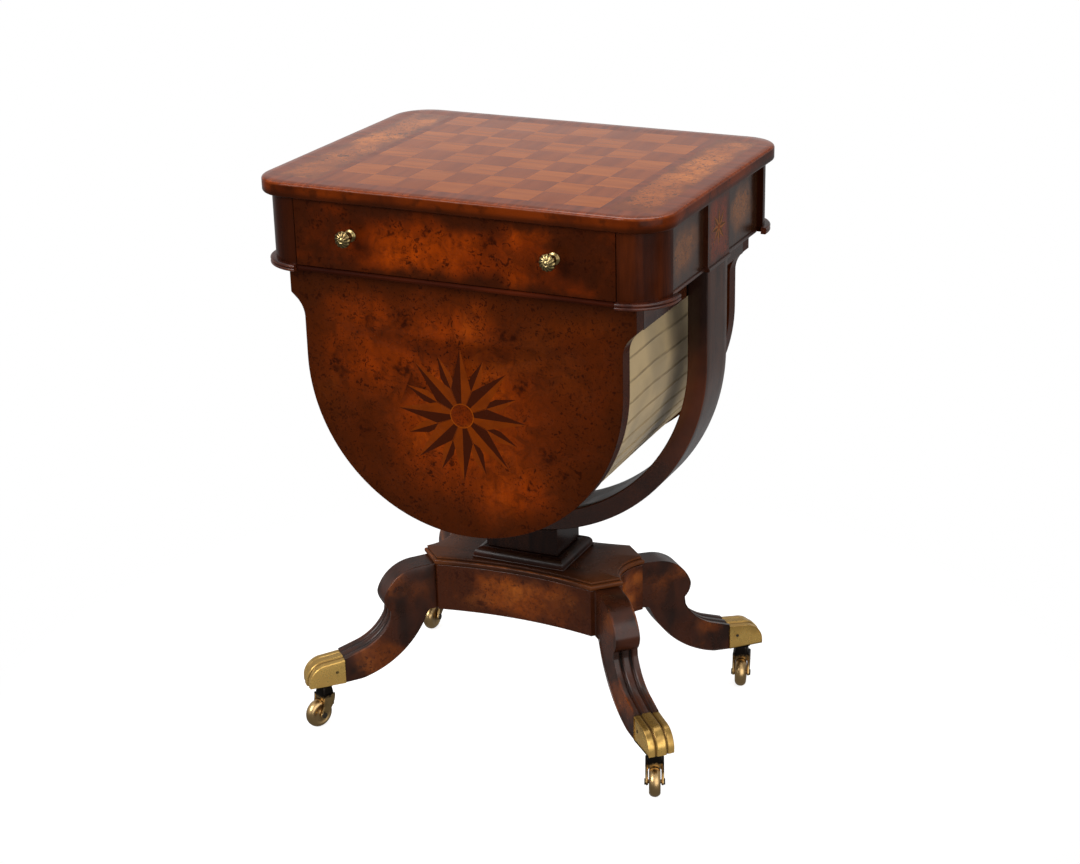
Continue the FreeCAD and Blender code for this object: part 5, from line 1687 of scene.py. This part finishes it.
# %% Casters
def fork_material():
    """Brass horns under a collar and neck that are painted near black as shade under the toe cap."""
    graph = Graph("horn_brass")
    x, y, z = graph.axes()
    spots = graph.noise(70.0, 5.0, roughness=0.65)
    tone = graph.mix(graph.fade(spots, 0.42, 0.66), colour(0.60, 0.40, 0.17), colour(0.16, 0.09, 0.035))
    # Painted shade: above the horns the fork goes near black, for the shadow under the toe cap.
    wavy_height = graph.plus(z, graph.fade(spots, 0.3, 0.7, -0.002, 0.002))
    tone = graph.mix(graph.fade(wavy_height, 0.0400, 0.0440), tone, colour(0.030, 0.024, 0.020))
    graph.bump(graph.noise(160.0, 3.0), 0.0003, 0.3)
    return graph.dress({"Base Color": tone, "Roughness": 0.30, "Metallic": METAL})


horn_brass = fork_material()
wheel_brass = metal("wheel_brass", colour(0.66, 0.44, 0.20), colour(0.14, 0.08, 0.03), 0.28)
pin = lathe([(0, 0.0767), (0.0035, 0.0767), (0.0035, 0.0607), (0.0125, 0.0607), (0.0125, PLATE_LOW),
             (0, PLATE_LOW)])
for name, sx, sy in CORNERS:
    body = nodes[f"caster_fork_{name}"]["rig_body"]
    parts = [under_foot(rows, name) for rows in (pin, cheek(-1), cheek(1), crown())]
    horn = new_piece(f"caster_horn_{name}", parts, body, "brass", horn_brass, 40, loop_columns=True)
    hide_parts(f"caster_fork_{name}")
    body = nodes[f"caster_wheel_{name}"]["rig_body"]
    wheel = new_piece(f"barrel_wheel_{name}", [under_foot(wheel_grid, name)], body, "brass", wheel_brass,
                      40, loop_rows=True, loop_columns=True)
    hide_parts(f"caster_wheel_{name}")
    paint(dark_iron, f"caster_axle_{name}")
print("casters: horns", len(horn.data.polygons), "faces, wheels", len(wheel.data.polygons), "faces")

# %% [markdown]
# ## Floor and light
# The table stands on a pale floor in a bright, even studio. The floor is seen as white but
# keeps the table's soft shadow; the lamps light the table itself at a plain level. A plain
# white plane would come out grey, so this one glows as well as it reflects.

# %% Floor
WHITE = colour(1.0, 1.0, 1.0)
floor_points = np.stack(np.meshgrid(np.linspace(-6, 6, 3), np.linspace(-6, 6, 3), [0.0],
                                    indexing="ij"), -1)[:, :, 0]
floor = bpy.data.objects.new("floor", grid_mesh("floor", [floor_points[::-1]]))
bpy.context.scene.collection.objects.link(floor)


def floor_material():
    """Seen by the camera the floor is white and keeps a soft shadow, which fades out with the
    distance. In the polish it is dark before the table and paler behind it."""
    graph = Graph("pale_floor")
    x, y, z = graph.axes()
    graph.tree.nodes.remove(graph.shader)

    def glowing(strength):
        return graph.add("ShaderNodeEmission", {"Color": WHITE, "Strength": strength}).outputs[0]

    def matt(grey):
        return graph.add("ShaderNodeBsdfDiffuse", {"Color": colour(grey, grey, grey)}).outputs[0]

    shaded = graph.add("ShaderNodeAddShader", {0: matt(0.55), 1: glowing(0.80)}).outputs[0]
    fading = graph.fade(graph.far(x, y), 0.35, 0.75)
    seen = graph.add("ShaderNodeMixShader", {0: fading, 1: shaded, 2: glowing(1.0)}).outputs[0]
    mirrored = glowing(graph.fade(y, -0.1, 1.0, 0.14, 0.30))
    surface = graph.tree.nodes["Material Output"].inputs[0]
    graph.fill(surface, graph.by_ray(matt(0.6), mirrored, seen))
    return graph.material


floor.data.materials.append(floor_material())
print("floor", len(floor.data.polygons), "faces")

# %% [markdown]
# ### Studio
# The polish mirrors what stands round the table, so the studio has a shape of its own: paler
# behind, dimmer in a band above the horizon, and pale again overhead. Real walls would do this
# too, but a few steps over the direction of a ray are simpler, and only mirrors see them.

# %% Studio
class Sky(Nodes):
    """The world's nodes. The place is the direction a ray looks in."""

    def __init__(self, world):
        world.use_nodes = True
        self.tree = world.node_tree
        self.tree.nodes.clear()
        self.place = self.add("ShaderNodeTexCoord").outputs["Generated"]


world = bpy.data.worlds.new("studio")
bpy.context.scene.world = world
sky = Sky(world)
x, y, z = sky.axes()
behind = sky.fade(sky.most(y, z), -0.2, 0.5, 0.13, 0.62, "LINEAR")
horizon = sky.fade(z, 0.215, 0.268, 1.0, 0.42, "LINEAR")
ceiling = sky.fade(z, 0.35, 0.60, 0.0, 1.0, "LINEAR")
strength = sky.times(behind, sky.most(horizon, ceiling))
seen, around, mirrored = [sky.add("ShaderNodeBackground", {"Color": WHITE, "Strength": value}).outputs[0]
                          for value in (1.0, 0.35, strength)]
sky.add("ShaderNodeOutputWorld", {0: sky.by_ray(around, mirrored, seen)})
print("studio", len(sky.tree.nodes), "nodes")

# %% [markdown]
# ### Lamps
# Three soft lamps model the shapes: a key from the front left, a wide one from the right, and
# a weaker one overhead. Small lamps would do as well, but they draw hard spots on brass and
# polish, where a studio's cloth boxes leave broad, soft ones.

# %% Lamps
def lamp(name, place, aim, width, height, power):
    """A soft rectangular lamp aimed at a point."""
    light = bpy.data.lights.new(name, "AREA")
    light.shape = "RECTANGLE"
    light.size, light.size_y = width, height
    light.energy = power
    holder = bpy.data.objects.new(name, light)
    bpy.context.scene.collection.objects.link(holder)
    holder.location = place
    holder.rotation_euler = (Vector(aim) - Vector(place)).to_track_quat("-Z", "Y").to_euler()


lamp("key_lamp", (-1.2, -2.2, 2.0), (0, 0, 0.45), 1.4, 1.4, 55)
lamp("side_lamp", (2.2, -1.4, 1.2), (0, 0, 0.4), 3.2, 2.6, 38)
lamp("top_lamp", (0.0, 0.4, 2.6), (0, 0, 0.3), 1.6, 1.6, 25)
bpy.context.scene.view_settings.view_transform = "Standard"
print("lamps", len(bpy.data.lights))

# %% [markdown]
